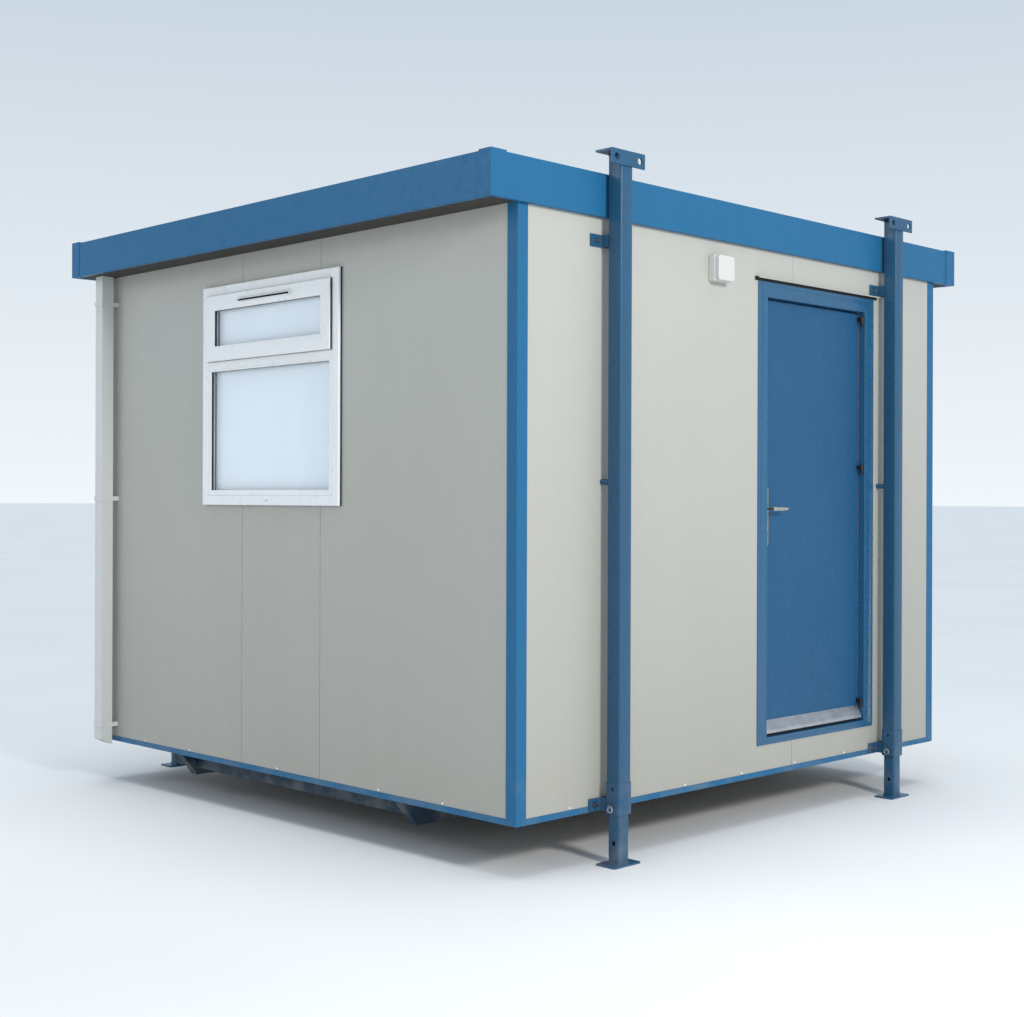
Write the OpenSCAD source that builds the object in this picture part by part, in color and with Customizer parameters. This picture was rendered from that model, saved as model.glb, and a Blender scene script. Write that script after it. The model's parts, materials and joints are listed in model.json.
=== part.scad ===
// Portable site cabin: flat-roofed box of composite panels on two skid runners,
// with a hinged door, one fixed window and four telescoping jack legs.
// Millimetres. Z is up, the origin is on the ground under the middle of the cabin,
// the door wall faces -Y and the window wall faces -X.

/* [Body] */
// Length of the cabin body along X
body_w = 3050; // [2700:10:6000]
// Depth of the cabin body along Y
body_d = 3050; // [2700:10:4500]
// Height of the underside of the base frame above the ground
ground_clearance = 210; // [190:5:400]
// Height of the walls from the base frame to the bottom of the fascia
wall_h = 2355; // [2330:5:3000]
// Thickness of the composite wall panels
wall_t = 50; // [40:5:100]
// Width of the joint between two wall panels
panel_joint = 3; // [2:1:8]
// Place of the panel joint in the door wall, from the middle of the cabin
door_wall_joint = 275; // [50:5:880]
// Place of the first panel joint in the side walls, from the middle of the cabin
side_joint_front = -310; // [-440:5:-100]
// Place of the second panel joint in the side walls, from the middle of the cabin
side_joint_back = 278; // [100:5:560]
// Width of the square corner posts
post_w = 57; // [50:1:100]
// How far posts and base rails stand proud of the wall panels
post_proud = 2; // [1:1:6]
// Height of the base rails under the walls
base_rail_h = 25; // [15:1:60]

/* [Floor and skids] */
// Height of the floor surface above the underside of the base frame
floor_h = 140; // [110:5:180]
// Thickness of the floor deck
deck_t = 22; // [15:1:30]
// Number of floor joists
joist_count = 7; // [4:1:12]
// Width of a floor joist
joist_w = 50; // [40:5:80]
// Gap between the outermost joists and the faces of the corner posts
joist_end = 20; // [0:5:100]
// Height of the skid runners
runner_h = 110; // [60:5:150]
// Width of the skid runners
runner_w = 50; // [40:5:100]
// Distance of each runner from the middle of the cabin
runner_y = 820; // [400:10:1100]
// Setback of the runner nose at its top and at its bottom
nose_top = 12; // [0:1:60]
nose_bottom = 100; // [60:5:200]
// Setback of the cross beams from the end walls
beam_setback = 100; // [60:5:300]
// Width and height of the cross beams
beam_w = 60; // [40:5:100]
beam_h = 76; // [40:2:100]
// Length of the cross beam that runs on behind the rear runner
beam_tail = 175; // [60:5:300]

/* [Roof] */
// Height of the fascia
fascia_h = 174; // [150:1:260]
// Overhang of the fascia past the end walls
side_overhang = 167; // [120:1:300]
// Overhang of the fascia past the door wall and the back wall
end_overhang = 25; // [15:1:30]
// Thickness of the roof panel
roof_panel_t = 60; // [40:5:90]
// Rise of the roof sheet from the gutters to the ridge
roof_fall = 30; // [10:5:50]
// Thickness of the soffit boards
soffit_t = 9; // [6:1:15]
// Thickness of folded sheet in gutters and corner caps
sheet_t = 3; // [2:1:4]
// Height of the gutter sides
gutter_h = 60; // [40:5:80]
// Widths of the corner cap along the side fascia and along the front fascia
cap_side = 65; // [40:5:100]
cap_front = 80; // [40:5:100]
// How far the corner cap stands above the fascia
cap_rise = 5; // [3:1:8]

/* [Door] */
// Place of the left edge of the door frame, from the middle of the cabin
door_x = 5; // [-1350:1:250]
// Outer width of the door frame
door_w = 951; // [800:1:1100]
// Outer height of the door frame
door_h = 2100; // [1900:5:2200]
// Height of the frame bottom above the underside of the base frame
door_lift = 140; // [110:5:180]
// Width of the door frame face on the lock side and the head
door_face = 70; // [50:1:100]
// Width of the door frame face on the hinge side
hinge_face = 80; // [50:1:100]
// Height of the threshold
threshold_h = 33; // [25:1:60]
// How far the door frame stands proud of the wall panels
door_proud = 4; // [3:1:20]
// Depth of the door frame
door_depth = 100; // [100:1:140]
// Thickness of the door leaf
leaf_t = 40; // [35:1:40]
// Depth of the leaf behind the face of the frame
leaf_recess = 34; // [30:1:38]
// Gaps round the leaf: hinge side, lock side, top and bottom
gap_hinge = 5; // [5:1:8]
gap_lock = 8; // [8:1:12]
gap_top = 5; // [5:1:10]
gap_bottom = 6; // [5:1:12]
// Width of the door stop behind the leaf
stop_w = 15; // [10:1:25]
// Gap between the leaf and the stop
stop_gap = 6; // [5:1:8]
// Size of the drip bar over the door: height, projection, and length past the frame
drip_h = 18; // [10:1:30]
drip_out = 25; // [15:1:40]
drip_side = 25; // [10:1:40]
// Size of the weather bar at the foot of the leaf: height and projection
bar_h = 58; // [40:1:80]
bar_out = 26; // [15:1:26]
// Height of the upright front edge of the weather bar
bar_nose = 12; // [5:1:20]
// How far the ends of the weather bar stop short of the leaf edges
bar_end = 3; // [3:1:20]
// Height of the weather bar above the foot of the leaf
bar_foot = 8; // [2:1:20]

/* [Hinges] */
// Distance of the hinge axis from the frame reveal
axis_side = 10; // [9:1:14]
// Distance of the hinge axis in front of the leaf
axis_front = 26; // [20:1:28]
// Radius of a hinge knuckle
knuckle_r = 7; // [6:0.5:8]
// Height of a hinge knuckle
knuckle_h = 20; // [15:1:30]
// Radius of the hinge pin, and the running clearance round it
hinge_pin_r = 4; // [3:0.25:4.5]
hinge_fit = 0.05; // [0.02:0.01:0.1]
// Heights of the hinges above the bottom of the door frame
hinge_low = 118; // [100:1:400]
hinge_mid = 1261; // [700:1:1600]
hinge_high = 1987; // [1700:1:1990]

/* [Handle] */
// Distance of the middle of the handle from the lock edge of the leaf
handle_in = 22; // [18:1:60]
// Height of the lever above the bottom of the door frame
lever_z = 1070; // [900:1:1150]
// Height and width of the handle plate
plate_h = 270; // [200:1:300]
plate_w = 30; // [24:1:50]
// Thickness of the handle plate
plate_t = 8; // [5:1:12]
// Width of the flat between the round corners of the handle plate
plate_flat = 2; // [1:0.5:10]
// Height of the lever above the bottom of the plate
plate_drop = 172; // [120:1:190]
// Length, thickness and standoff of the lever
lever_l = 105; // [80:1:130]
lever_r = 7; // [5:0.5:9]
lever_out = 45; // [35:1:60]
// Radius of the spindle and the clearance round it
spindle_r = 7; // [5:0.5:8]
spindle_gap = 0.3; // [0.2:0.1:0.5]
// Distance of the lock cylinder below the lever
lock_drop = 80; // [60:1:100]
// Radius of the lock cylinder and how far it stands out of the plate
lock_r = 8.5; // [7:0.5:9]
lock_out = 5; // [3:1:10]
// Width of the tail under the lock cylinder and its height from the middle of the cylinder
lock_tail_w = 10; // [8:0.5:11]
lock_tail_h = 19; // [15:0.5:22]

/* [Window] */
// Place of the front edge of the window, from the middle of the cabin
window_y = -459; // [-700:1:-200]
// Width and height of the window frame
window_w = 1037; // [700:1:1100]
window_h = 1029; // [800:1:1080]
// Height of the window bottom above the underside of the base frame
window_lift = 1218; // [900:1:1280]
// How far the window frame stands proud of the wall panels
window_proud = 20; // [10:1:30]
// Width of the frame round the fixed pane
frame_face = 70; // [50:1:90]
// Width of the frame round the top sash
sash_inset = 45; // [30:1:60]
// Distance of the sash bottom and of the fixed pane top below the top of the frame
sash_drop = 354; // [300:1:400]
pane_drop = 401; // [390:1:450]
// Width of the sash members and how far the sash stands proud of the frame
sash_face = 71; // [50:1:80]
sash_proud = 15; // [8:1:25]
// Thickness of the panes and their depth behind the faces
pane_t = 24; // [20:1:28]
pane_recess = 14; // [8:1:20]
// Length, height and projection of the trickle vent
vent_l = 400; // [200:5:600]
vent_h = 20; // [12:1:30]
vent_out = 12; // [8:1:20]

/* [Junction box] */
// Distance of the box from the left edge of the door frame
box_side = 303; // [150:1:600]
// Width, height and depth of the box
box_w = 116; // [80:1:160]
box_h = 114; // [80:1:140]
box_d = 36; // [25:1:60]
// Depth and corner radius of the lid
lid_d = 22; // [12:1:40]
lid_r = 16; // [6:1:25]
// How far the lid stops short of the box edges
lid_step = 2; // [0:0.5:5]
// Distance of the box top below the bottom of the fascia
box_drop = 68; // [40:1:200]

/* [Downpipes] */
// Side of the square pipe
pipe_w = 65; // [50:1:80]
// Wall thickness of the pipe
pipe_t = 4; // [3:0.5:5]
// Gap between the pipe and the wall
pipe_gap = 30; // [20:1:50]
// Distance of the pipe from the back of the cabin
pipe_in = 80; // [70:5:150]
// Drop of the slanted mouth and its lowest point below the base frame
mouth_drop = 30; // [10:1:50]
mouth_low = 13; // [-20:1:40]
// Thickness and height of a pipe clip
clip_t = 3; // [2:0.5:5]
clip_h = 22; // [15:1:40]
// Clearance between the pipe and its clips
clip_fit = 0.3; // [0.1:0.1:0.5]
// Heights of the clips above the underside of the base frame
clip_low = 78; // [60:1:300]
clip_mid = 1236; // [900:1:1500]
clip_high = 2230; // [1900:1:2300]

/* [Jack legs] */
// Distance of each leg from the middle of the cabin
leg_x = 1020; // [1010:1:1030]
// Side and wall thickness of the outer tube
tube_w = 70; // [60:1:90]
tube_t = 5; // [3:0.5:6]
// Gap between the wall panels and the outer tube
tube_gap = 40; // [32:1:60]
// Height of the tube bottom below the underside of the base frame
tube_drop = 6; // [0:1:20]
// Height of the leg top above the top of the fascia
leg_rise = 83; // [60:1:300]
// Sliding clearance on each side of the inner leg
leg_fit = 0.8; // [0.5:0.1:0.9]
// Wall thickness of the inner leg, and its length
inner_t = 4; // [3:0.5:6]
inner_l = 1100; // [600:10:1500]
// Height and thickness of the collar round the tube end
collar_h = 125; // [100:1:180]
collar_t = 3; // [2:0.5:5]
// Length, width and thickness of the foot plate
foot_x = 160; // [120:1:200]
foot_y = 100; // [80:1:140]
foot_t = 8; // [6:1:12]
// Radius of the pin holes in the leg, and their spacing
pin_hole_r = 9; // [6:0.5:12]
pin_pitch = 150; // [100:5:200]
// Height of the lowest pin hole above the ground
pin_hole_z = 88; // [70:1:120]
// Radius of the spare hole through the tube, and its distance below the collar top
spare_hole_r = 7; // [5:0.5:9]
spare_hole_drop = 24; // [20:1:40]
// Radius of the locking pin, and its clearance in the tube
pin_r = 6; // [5:0.5:8]
pin_fit = 0.3; // [0.2:0.1:0.5]
// Length of the pin outside the collar
pin_out = 20; // [15:1:30]
// Radius of the pull ring and of its wire
ring_r = 12; // [10:0.5:14]
wire_r = 2; // [1.5:0.5:3]

/* [Leg fittings] */
// Width, depth and thickness of the cap angle
cap_w = 200; // [170:1:260]
cap_d = 88; // [80:1:120]
cap_t = 8; // [6:1:12]
// Height of the front plate of the cap
cap_h = 60; // [50:1:80]
// Radius and spacing of the bolt holes in the cap, and their distance below its top
cap_hole_r = 14; // [10:0.5:14]
cap_hole_pitch = 140; // [130:1:160]
cap_hole_drop = 31; // [28:1:34]
// Height and thickness of the leg cleats, and how far they reach past the tube
cleat_h = 50; // [40:1:70]
cleat_t = 6; // [4:1:10]
cleat_reach = 65; // [40:1:90]
// Height of the upper cleat below the bottom of the fascia
cleat_drop = 119; // [80:1:300]
// Height of the lower bracket above the underside of the base frame
bracket_lift = 4; // [2:1:20]
// Radius and height above the ground clearance of the spacer at mid height
spacer_r = 12; // [8:1:18]
spacer_lift = 1320; // [1000:1:1600]

/* [Hidden] */

// Facets of a full circle, and how far a cut runs past the faces that it leaves through
$fn = 48;
cut = 1;

// Colours
panel_grey = [0.80, 0.80, 0.77];
steel_blue = [0.13, 0.36, 0.56];
door_blue = [0.16, 0.40, 0.60];
dark_blue = [0.08, 0.20, 0.32];
soffit_dark = [0.12, 0.12, 0.12];
upvc_white = [0.90, 0.91, 0.91];
glass_pale = [0.80, 0.86, 0.92];
zinc = [0.70, 0.71, 0.72];
brass = [0.80, 0.62, 0.30];
timber = [0.62, 0.50, 0.36];

// Body planes
half_w = body_w / 2;
half_d = body_d / 2;
skin_x = half_w + post_proud;
skin_y = half_d + post_proud;
post_in_x = skin_x - post_w;
post_in_y = skin_y - post_w;
base_z = ground_clearance;
panel_z = base_z + base_rail_h;
fascia_z = panel_z + wall_h;
fascia_top = fascia_z + fascia_h;
soffit_rise = 3;
roof_z = fascia_z + soffit_rise + soffit_t;
floor_z = base_z + floor_h;

// Roof planes
fascia_t = end_overhang - post_proud;
roof_x = half_w + side_overhang;
roof_y = half_d + end_overhang;
soffit_x = roof_x - fascia_t;
roof_lap = 20;
sheet_lap = 10;
sheet_edge = 4;
panel_end_x = half_w + roof_lap;
fascia_joint = 2;

// Door planes
frame_z = base_z + door_lift;
frame_top = frame_z + door_h;
frame_y = -half_d - door_proud;
reveal_left = door_x + door_face;
reveal_right = door_x + door_w - hinge_face;
reveal_low = frame_z + threshold_h;
reveal_high = frame_top - door_face;
leaf_left = reveal_left + gap_lock;
leaf_right = reveal_right - gap_hinge;
leaf_low = reveal_low + gap_bottom;
leaf_high = reveal_high - gap_top;
leaf_y = frame_y + leaf_recess;
stop_y = leaf_y + leaf_t + stop_gap;
frame_back = frame_y + door_depth;
axis_x = reveal_right - axis_side;
axis_y = leaf_y - axis_front;
hinge_gap = 0.5;
tab_w = 8;
handle_x = leaf_left + handle_in;
handle_z = frame_z + lever_z;
plate_z = handle_z - plate_drop;
plate_hole_r = spindle_r + spindle_gap;
inner_face_y = leaf_y + leaf_t;

// Window planes
window_z = base_z + window_lift;
window_top = window_z + window_h;
window_x = -half_w - window_proud;
sash_low = window_top - sash_drop;
sash_high = window_top - sash_inset;
pane_low = window_z + frame_face;
pane_high = window_top - pane_drop;
sash_x = window_x - sash_proud;
sash_depth = 45;

// Downpipe planes
pipe_x0 = half_w + pipe_gap;
pipe_x1 = pipe_x0 + pipe_w;
pipe_y1 = half_d - pipe_in;
pipe_y0 = pipe_y1 - pipe_w;
pipe_top = roof_z - soffit_t;
mouth_z = base_z - mouth_low;

// Leg planes
tube_back = half_d + tube_gap;
leg_y = tube_back + tube_w / 2;
tube_z = base_z - tube_drop;
leg_top = fascia_top + leg_rise;
tube_top = leg_top - cap_t;
bore_w = tube_w - 2 * tube_t;
inner_w = bore_w - 2 * leg_fit;
collar_w = tube_w + 2 * collar_t;
pin_z = pin_hole_z + pin_pitch;
spare_hole_z = tube_z + collar_h - spare_hole_drop;

// Box from one corner to the other
module block(low, high) {
    translate(low) cube(high - low);
}

// Copies for the four legs: front pair, and back pair mirrored in Y
module at_legs() {
    for (side = [-1, 1])
        for (end = [0, 1])
            mirror([0, end, 0]) translate([side * leg_x, -leg_y, 0]) children();
}

// Copies on both end walls; the children are drawn for the window end
module at_ends() {
    for (end = [0, 1]) mirror([end, 0, 0]) children();
}

// Copies on the door side and the back; the children are drawn for the door side
module at_sides() {
    for (side = [0, 1]) mirror([0, side, 0]) children();
}

// Rectangle with round corners, centred
module round_rect(w, h, r) {
    square([w - 2 * r, h], center = true);
    square([w, h - 2 * r], center = true);
    for (x = [-1, 1])
        for (y = [-1, 1])
            translate([x * (w / 2 - r), y * (h / 2 - r)]) circle(r = r);
}

// Room that the front and back walls take between the corner posts, at their full thickness
module long_wall_room() {
    at_sides()
        block([-post_in_x, -skin_y, base_z - cut], [post_in_x, -half_d + wall_t, roof_z + cut]);
}

// End wall of three panels, drawn for the window end; thick walls are rebated where they meet
module end_wall_panels() {
    edges = [-post_in_y, side_joint_front, side_joint_back, post_in_y];
    difference() {
        for (i = [0:2]) {
            low = edges[i] + (i == 0 ? 0 : panel_joint / 2);
            high = edges[i + 1] - (i == 2 ? 0 : panel_joint / 2);
            block([-half_w, low, panel_z], [-half_w + wall_t, high, roof_z]);
        }
        long_wall_room();
    }
}

module front_wall() {
    color(panel_grey) {
        block([-post_in_x, -half_d, panel_z], [door_x, -half_d + wall_t, roof_z]);
        block([door_x + door_w, -half_d, panel_z], [post_in_x, -half_d + wall_t, roof_z]);
    }
}

module door_bay_panels() {
    left = [door_x, door_wall_joint - panel_joint / 2];
    right = [door_wall_joint + panel_joint / 2, door_x + door_w];
    color(panel_grey)
        for (span = [left, right]) {
            block([span[0], -half_d, panel_z], [span[1], -half_d + wall_t, frame_z]);
            block([span[0], -half_d, frame_top], [span[1], -half_d + wall_t, roof_z]);
        }
}

module left_wall() {
    color(panel_grey)
        difference() {
            end_wall_panels();
            block([-half_w - cut, window_y, window_z],
                  [-half_w + wall_t + cut, window_y + window_w, window_top]);
        }
}

module right_wall() {
    color(panel_grey) mirror([1, 0, 0]) end_wall_panels();
}

module back_wall() {
    edges = [-post_in_x, side_joint_front, side_joint_back, post_in_x];
    color(panel_grey)
        for (i = [0:2]) {
            low = edges[i] + (i == 0 ? 0 : panel_joint / 2);
            high = edges[i + 1] - (i == 2 ? 0 : panel_joint / 2);
            block([low, half_d - wall_t, panel_z], [high, half_d, roof_z]);
        }
}

module corner_posts() {
    color(steel_blue)
        at_ends() at_sides()
            block([-skin_x, -skin_y, base_z], [-post_in_x, -post_in_y, roof_z]);
}

module base_rails() {
    color(steel_blue) {
        at_sides() block([-post_in_x, -skin_y, base_z], [post_in_x, -half_d + wall_t, panel_z]);
        difference() {
            at_ends() block([-skin_x, -post_in_y, base_z], [-half_w + wall_t, post_in_y, panel_z]);
            long_wall_room();
        }
    }
}

module floor_joists() {
    run = post_in_x - joist_w / 2 - joist_end;
    color(timber)
        for (i = [0:joist_count - 1]) {
            x = -run + 2 * run * i / (joist_count - 1);
            block([x - joist_w / 2, -half_d + wall_t, base_z],
                  [x + joist_w / 2, half_d - wall_t, floor_z - deck_t]);
        }
}

module floor_deck() {
    reach = min(post_in_x, half_w - wall_t);
    color(timber)
        block([-reach, -half_d + wall_t, floor_z - deck_t], [reach, half_d - wall_t, floor_z]);
}

module skid_runners() {
    top = half_w - nose_top;
    bottom = half_w - nose_bottom;
    color(dark_blue)
        for (side = [-1, 1])
            translate([0, side * runner_y + runner_w / 2, base_z - runner_h])
                rotate([90, 0, 0])
                    linear_extrude(runner_w)
                        polygon([[-bottom, 0], [bottom, 0], [top, runner_h], [-top, runner_h]]);
}

module cross_beams() {
    outer = half_w - beam_setback;
    clear = runner_y - runner_w / 2;
    tail = runner_y + runner_w / 2;
    color(dark_blue)
        at_ends() {
            block([-outer, -clear, base_z - beam_h], [-outer + beam_w, clear, base_z]);
            block([-outer, tail, base_z - beam_h], [-outer + beam_w, tail + beam_tail, base_z]);
        }
}

module roof_panel() {
    color(panel_grey)
        block([-panel_end_x, -skin_y, roof_z], [panel_end_x, skin_y, roof_z + roof_panel_t]);
}

module roof_sheet() {
    edge = panel_end_x + sheet_lap;
    color(zinc)
        translate([0, skin_y, roof_z + roof_panel_t])
            rotate([90, 0, 0])
                linear_extrude(2 * skin_y)
                    polygon([[-edge, 0], [edge, 0], [edge, sheet_edge],
                             [0, sheet_edge + roof_fall], [-edge, sheet_edge]]);
}

// Square outlet through gutter and soffit over each downpipe
module outlet() {
    at_ends()
        block([-pipe_x1 + pipe_t, pipe_y0 + pipe_t, roof_z - soffit_t - cut],
              [-pipe_x0 - pipe_t, pipe_y1 - pipe_t, roof_z + sheet_t + cut]);
}

module roof_gutters() {
    color(zinc)
        difference() {
            at_ends()
                difference() {
                    block([-soffit_x, -skin_y, roof_z], [-panel_end_x, skin_y, roof_z + gutter_h]);
                    block([-soffit_x + sheet_t, -skin_y + sheet_t, roof_z + sheet_t],
                          [-panel_end_x - sheet_t, skin_y - sheet_t, roof_z + gutter_h + cut]);
                }
            outlet();
        }
}

module soffit_boards() {
    color(soffit_dark)
        difference() {
            at_ends()
                block([-soffit_x, -skin_y, roof_z - soffit_t], [-skin_x, skin_y, roof_z]);
            outlet();
        }
}

module roof_fascias() {
    color(steel_blue) {
        at_sides() block([-roof_x, -roof_y, fascia_z], [roof_x, -skin_y, fascia_top]);
        at_ends()
            block([-roof_x, -skin_y + fascia_joint, fascia_z],
                  [-soffit_x, skin_y - fascia_joint, fascia_top]);
    }
}

module fascia_corner_caps() {
    x0 = roof_x + sheet_t;
    y0 = roof_y + sheet_t;
    color(steel_blue)
        at_ends() at_sides()
            difference() {
                block([-x0, -y0, fascia_z],
                      [-roof_x + cap_front, -roof_y + cap_side, fascia_top + cap_rise]);
                block([-roof_x, -roof_y, fascia_z - cut], [roof_x, roof_y, fascia_top]);
                block([-roof_x + fascia_t, -roof_y + fascia_t, fascia_top - cut],
                      [roof_x, roof_y, fascia_top + cap_rise + cut]);
            }
}

module door_jambs() {
    color(steel_blue) {
        block([door_x, frame_y, frame_z], [reveal_left, stop_y, frame_top]);
        block([door_x, stop_y, frame_z], [reveal_left + stop_w, frame_back, frame_top]);
        block([reveal_right, frame_y, frame_z], [door_x + door_w, stop_y, frame_top]);
        block([reveal_right - stop_w, stop_y, frame_z], [door_x + door_w, frame_back, frame_top]);
    }
}

module door_head() {
    color(steel_blue) {
        block([reveal_left, frame_y, reveal_high], [reveal_right, stop_y, frame_top]);
        block([reveal_left + stop_w, stop_y, reveal_high - stop_w],
              [reveal_right - stop_w, frame_back, frame_top]);
    }
}

module door_threshold() {
    color(steel_blue) {
        block([reveal_left, frame_y, frame_z], [reveal_right, stop_y, reveal_low]);
        block([reveal_left + stop_w, stop_y, frame_z], [reveal_right - stop_w, frame_back, reveal_low]);
    }
}

module door_drip_bar() {
    color(zinc)
        block([door_x - drip_side, -half_d - drip_out, frame_top],
              [door_x + door_w + drip_side, -half_d, frame_top + drip_h]);
}

// Copies at the three hinges, with the origin where the two knuckles meet
module at_hinges() {
    for (z = [hinge_low, hinge_mid, hinge_high])
        translate([axis_x, axis_y, frame_z + z]) children();
}

module hinge_pintles() {
    color(zinc)
        at_hinges() {
            translate([0, 0, -knuckle_h]) cylinder(r = knuckle_r, h = knuckle_h);
            translate([0, 0, -knuckle_h]) cylinder(r = hinge_pin_r, h = 2 * knuckle_h);
            block([0, -tab_w / 2, -knuckle_h], [axis_side, tab_w / 2, 0]);
        }
}

module hinge_knuckles() {
    color(zinc)
        at_hinges()
            difference() {
                union() {
                    translate([0, 0, hinge_gap]) cylinder(r = knuckle_r, h = knuckle_h);
                    block([-tab_w, 0, hinge_gap], [0, axis_front, hinge_gap + knuckle_h]);
                }
                cylinder(r = hinge_pin_r + hinge_fit, h = hinge_gap + knuckle_h + cut);
            }
}

module door_leaf() {
    color(door_blue)
        difference() {
            block([leaf_left, leaf_y, leaf_low], [leaf_right, leaf_y + leaf_t, leaf_high]);
            translate([handle_x, leaf_y - cut, handle_z])
                rotate([-90, 0, 0]) cylinder(r = plate_hole_r, h = leaf_t + 2 * cut);
        }
}

module door_weather_bar() {
    color(zinc)
        translate([leaf_left + bar_end, leaf_y, leaf_low + bar_foot])
            rotate([90, 0, 90])
                linear_extrude(leaf_right - leaf_left - 2 * bar_end)
                    polygon([[0, 0], [0, bar_h], [-sheet_t, bar_h],
                             [-bar_out, bar_nose], [-bar_out, 0]]);
}

// Copies on the outer and the inner face of the leaf; drawn for the outer face
module at_leaf_faces() {
    translate([handle_x, leaf_y, 0]) children();
    translate([handle_x, inner_face_y, 0]) mirror([0, 1, 0]) children();
}

module handle_plates() {
    color(zinc)
        at_leaf_faces()
            difference() {
                translate([0, 0, plate_z + plate_h / 2])
                    rotate([90, 0, 0])
                        linear_extrude(plate_t)
                            round_rect(plate_w, plate_h, (plate_w - plate_flat) / 2);
                translate([0, cut, handle_z])
                    rotate([90, 0, 0]) cylinder(r = plate_hole_r, h = plate_t + 2 * cut);
            }
}

module lock_cylinders() {
    color(brass)
        at_leaf_faces()
            translate([0, -plate_t, handle_z - lock_drop])
                rotate([90, 0, 0]) {
                    cylinder(r = lock_r, h = lock_out);
                    translate([-lock_tail_w / 2, -lock_tail_h, 0])
                        cube([lock_tail_w, lock_tail_h, lock_out]);
                }
}

module door_levers() {
    reach = plate_t + lever_out;
    color(zinc)
        translate([handle_x, 0, handle_z]) {
            translate([0, leaf_y - reach, 0])
                rotate([-90, 0, 0]) cylinder(r = spindle_r, h = leaf_t + 2 * reach);
            for (y = [leaf_y - reach, inner_face_y + reach])
                translate([0, y, 0]) {
                    sphere(r = lever_r);
                    rotate([0, 90, 0]) cylinder(r = lever_r, h = lever_l - lever_r);
                    translate([lever_l - lever_r, 0, 0]) sphere(r = lever_r);
                }
        }
}

module window_frame() {
    y0 = window_y;
    y1 = window_y + window_w;
    back = -half_w + wall_t;
    color(upvc_white)
        difference() {
            block([window_x, y0, window_z], [back, y1, window_top]);
            block([window_x - cut, y0 + frame_face, pane_low],
                  [back + cut, y1 - frame_face, pane_high]);
            block([window_x - cut, y0 + sash_inset, sash_low],
                  [back + cut, y1 - sash_inset, sash_high]);
        }
}

module window_panes() {
    y0 = window_y + frame_face;
    y1 = window_y + window_w - frame_face;
    s0 = window_y + sash_inset + sash_face;
    s1 = window_y + window_w - sash_inset - sash_face;
    front = window_x + pane_recess;
    sash_front = sash_x + pane_recess;
    color(glass_pale) {
        block([front, y0, pane_low], [front + pane_t, y1, pane_high]);
        block([sash_front, s0, sash_low + sash_face],
              [sash_front + pane_t, s1, sash_high - sash_face]);
    }
}

module fanlight_sash() {
    y0 = window_y + sash_inset;
    y1 = window_y + window_w - sash_inset;
    color(upvc_white)
        difference() {
            block([sash_x, y0, sash_low], [sash_x + sash_depth, y1, sash_high]);
            block([sash_x - cut, y0 + sash_face, sash_low + sash_face],
                  [sash_x + sash_depth + cut, y1 - sash_face, sash_high - sash_face]);
        }
}

module trickle_vent() {
    mid = window_y + window_w / 2;
    z = sash_high - sash_face / 2;
    color(upvc_white)
        block([sash_x - vent_out, mid - vent_l / 2, z - vent_h / 2],
              [sash_x, mid + vent_l / 2, z + vent_h / 2]);
}

module junction_box() {
    x = door_x - box_side;
    z = fascia_z - box_drop;
    color(upvc_white)
        block([x - box_w / 2, -half_d - box_d, z - box_h], [x + box_w / 2, -half_d, z]);
}

module junction_box_lid() {
    color(upvc_white)
        translate([door_x - box_side, -half_d - box_d, fascia_z - box_drop - box_h / 2])
            rotate([90, 0, 0])
                linear_extrude(lid_d) round_rect(box_w - 2 * lid_step, box_h - 2 * lid_step, lid_r);
}

module downpipes() {
    slope = atan(mouth_drop / pipe_w);
    color(upvc_white)
        at_ends()
            difference() {
                block([-pipe_x1, pipe_y0, mouth_z], [-pipe_x0, pipe_y1, pipe_top]);
                block([-pipe_x1 + pipe_t, pipe_y0 + pipe_t, mouth_z - cut],
                      [-pipe_x0 - pipe_t, pipe_y1 - pipe_t, pipe_top + cut]);
                translate([-pipe_x0, pipe_y0 - cut, mouth_z])
                    rotate([0, slope, 0])
                        translate([-2 * pipe_w, 0, -pipe_w])
                            cube([3 * pipe_w, pipe_w + 2 * cut, pipe_w]);
            }
}

// Saddle clip round the pipe, with a foot on the wall
module pipe_clips() {
    color(upvc_white)
        at_ends()
            for (z = [clip_low, clip_mid, clip_high])
                difference() {
                    block([-pipe_x1 - clip_t - clip_fit, pipe_y0 - clip_t - clip_fit, base_z + z],
                          [-half_w, pipe_y1 + clip_t + clip_fit, base_z + z + clip_h]);
                    block([-pipe_x1 - clip_fit, pipe_y0 - clip_fit, base_z + z - cut],
                          [-pipe_x0 + clip_fit, pipe_y1 + clip_fit, base_z + z + clip_h + cut]);
                    block([-pipe_x0 + clip_t + clip_fit, pipe_y0, base_z + z - cut],
                          [-half_w - clip_t, pipe_y1, base_z + z + clip_h + cut]);
                }
}

// Square tube standing on the given height, centred on the origin
module square_tube(side, wall, low, high) {
    difference() {
        block([-side / 2, -side / 2, low], [side / 2, side / 2, high]);
        block([-side / 2 + wall, -side / 2 + wall, low - cut],
              [side / 2 - wall, side / 2 - wall, high + cut]);
    }
}

module leg_tubes() {
    color(steel_blue)
        at_legs()
            difference() {
                union() {
                    square_tube(tube_w, tube_t, tube_z, tube_top);
                    square_tube(collar_w, collar_t + tube_t, tube_z, tube_z + collar_h);
                }
                translate([-collar_w, 0, spare_hole_z])
                    rotate([0, 90, 0]) cylinder(r = spare_hole_r, h = 2 * collar_w);
                translate([-collar_w, 0, pin_z])
                    rotate([0, 90, 0]) cylinder(r = pin_r + pin_fit, h = collar_w);
            }
}

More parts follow.
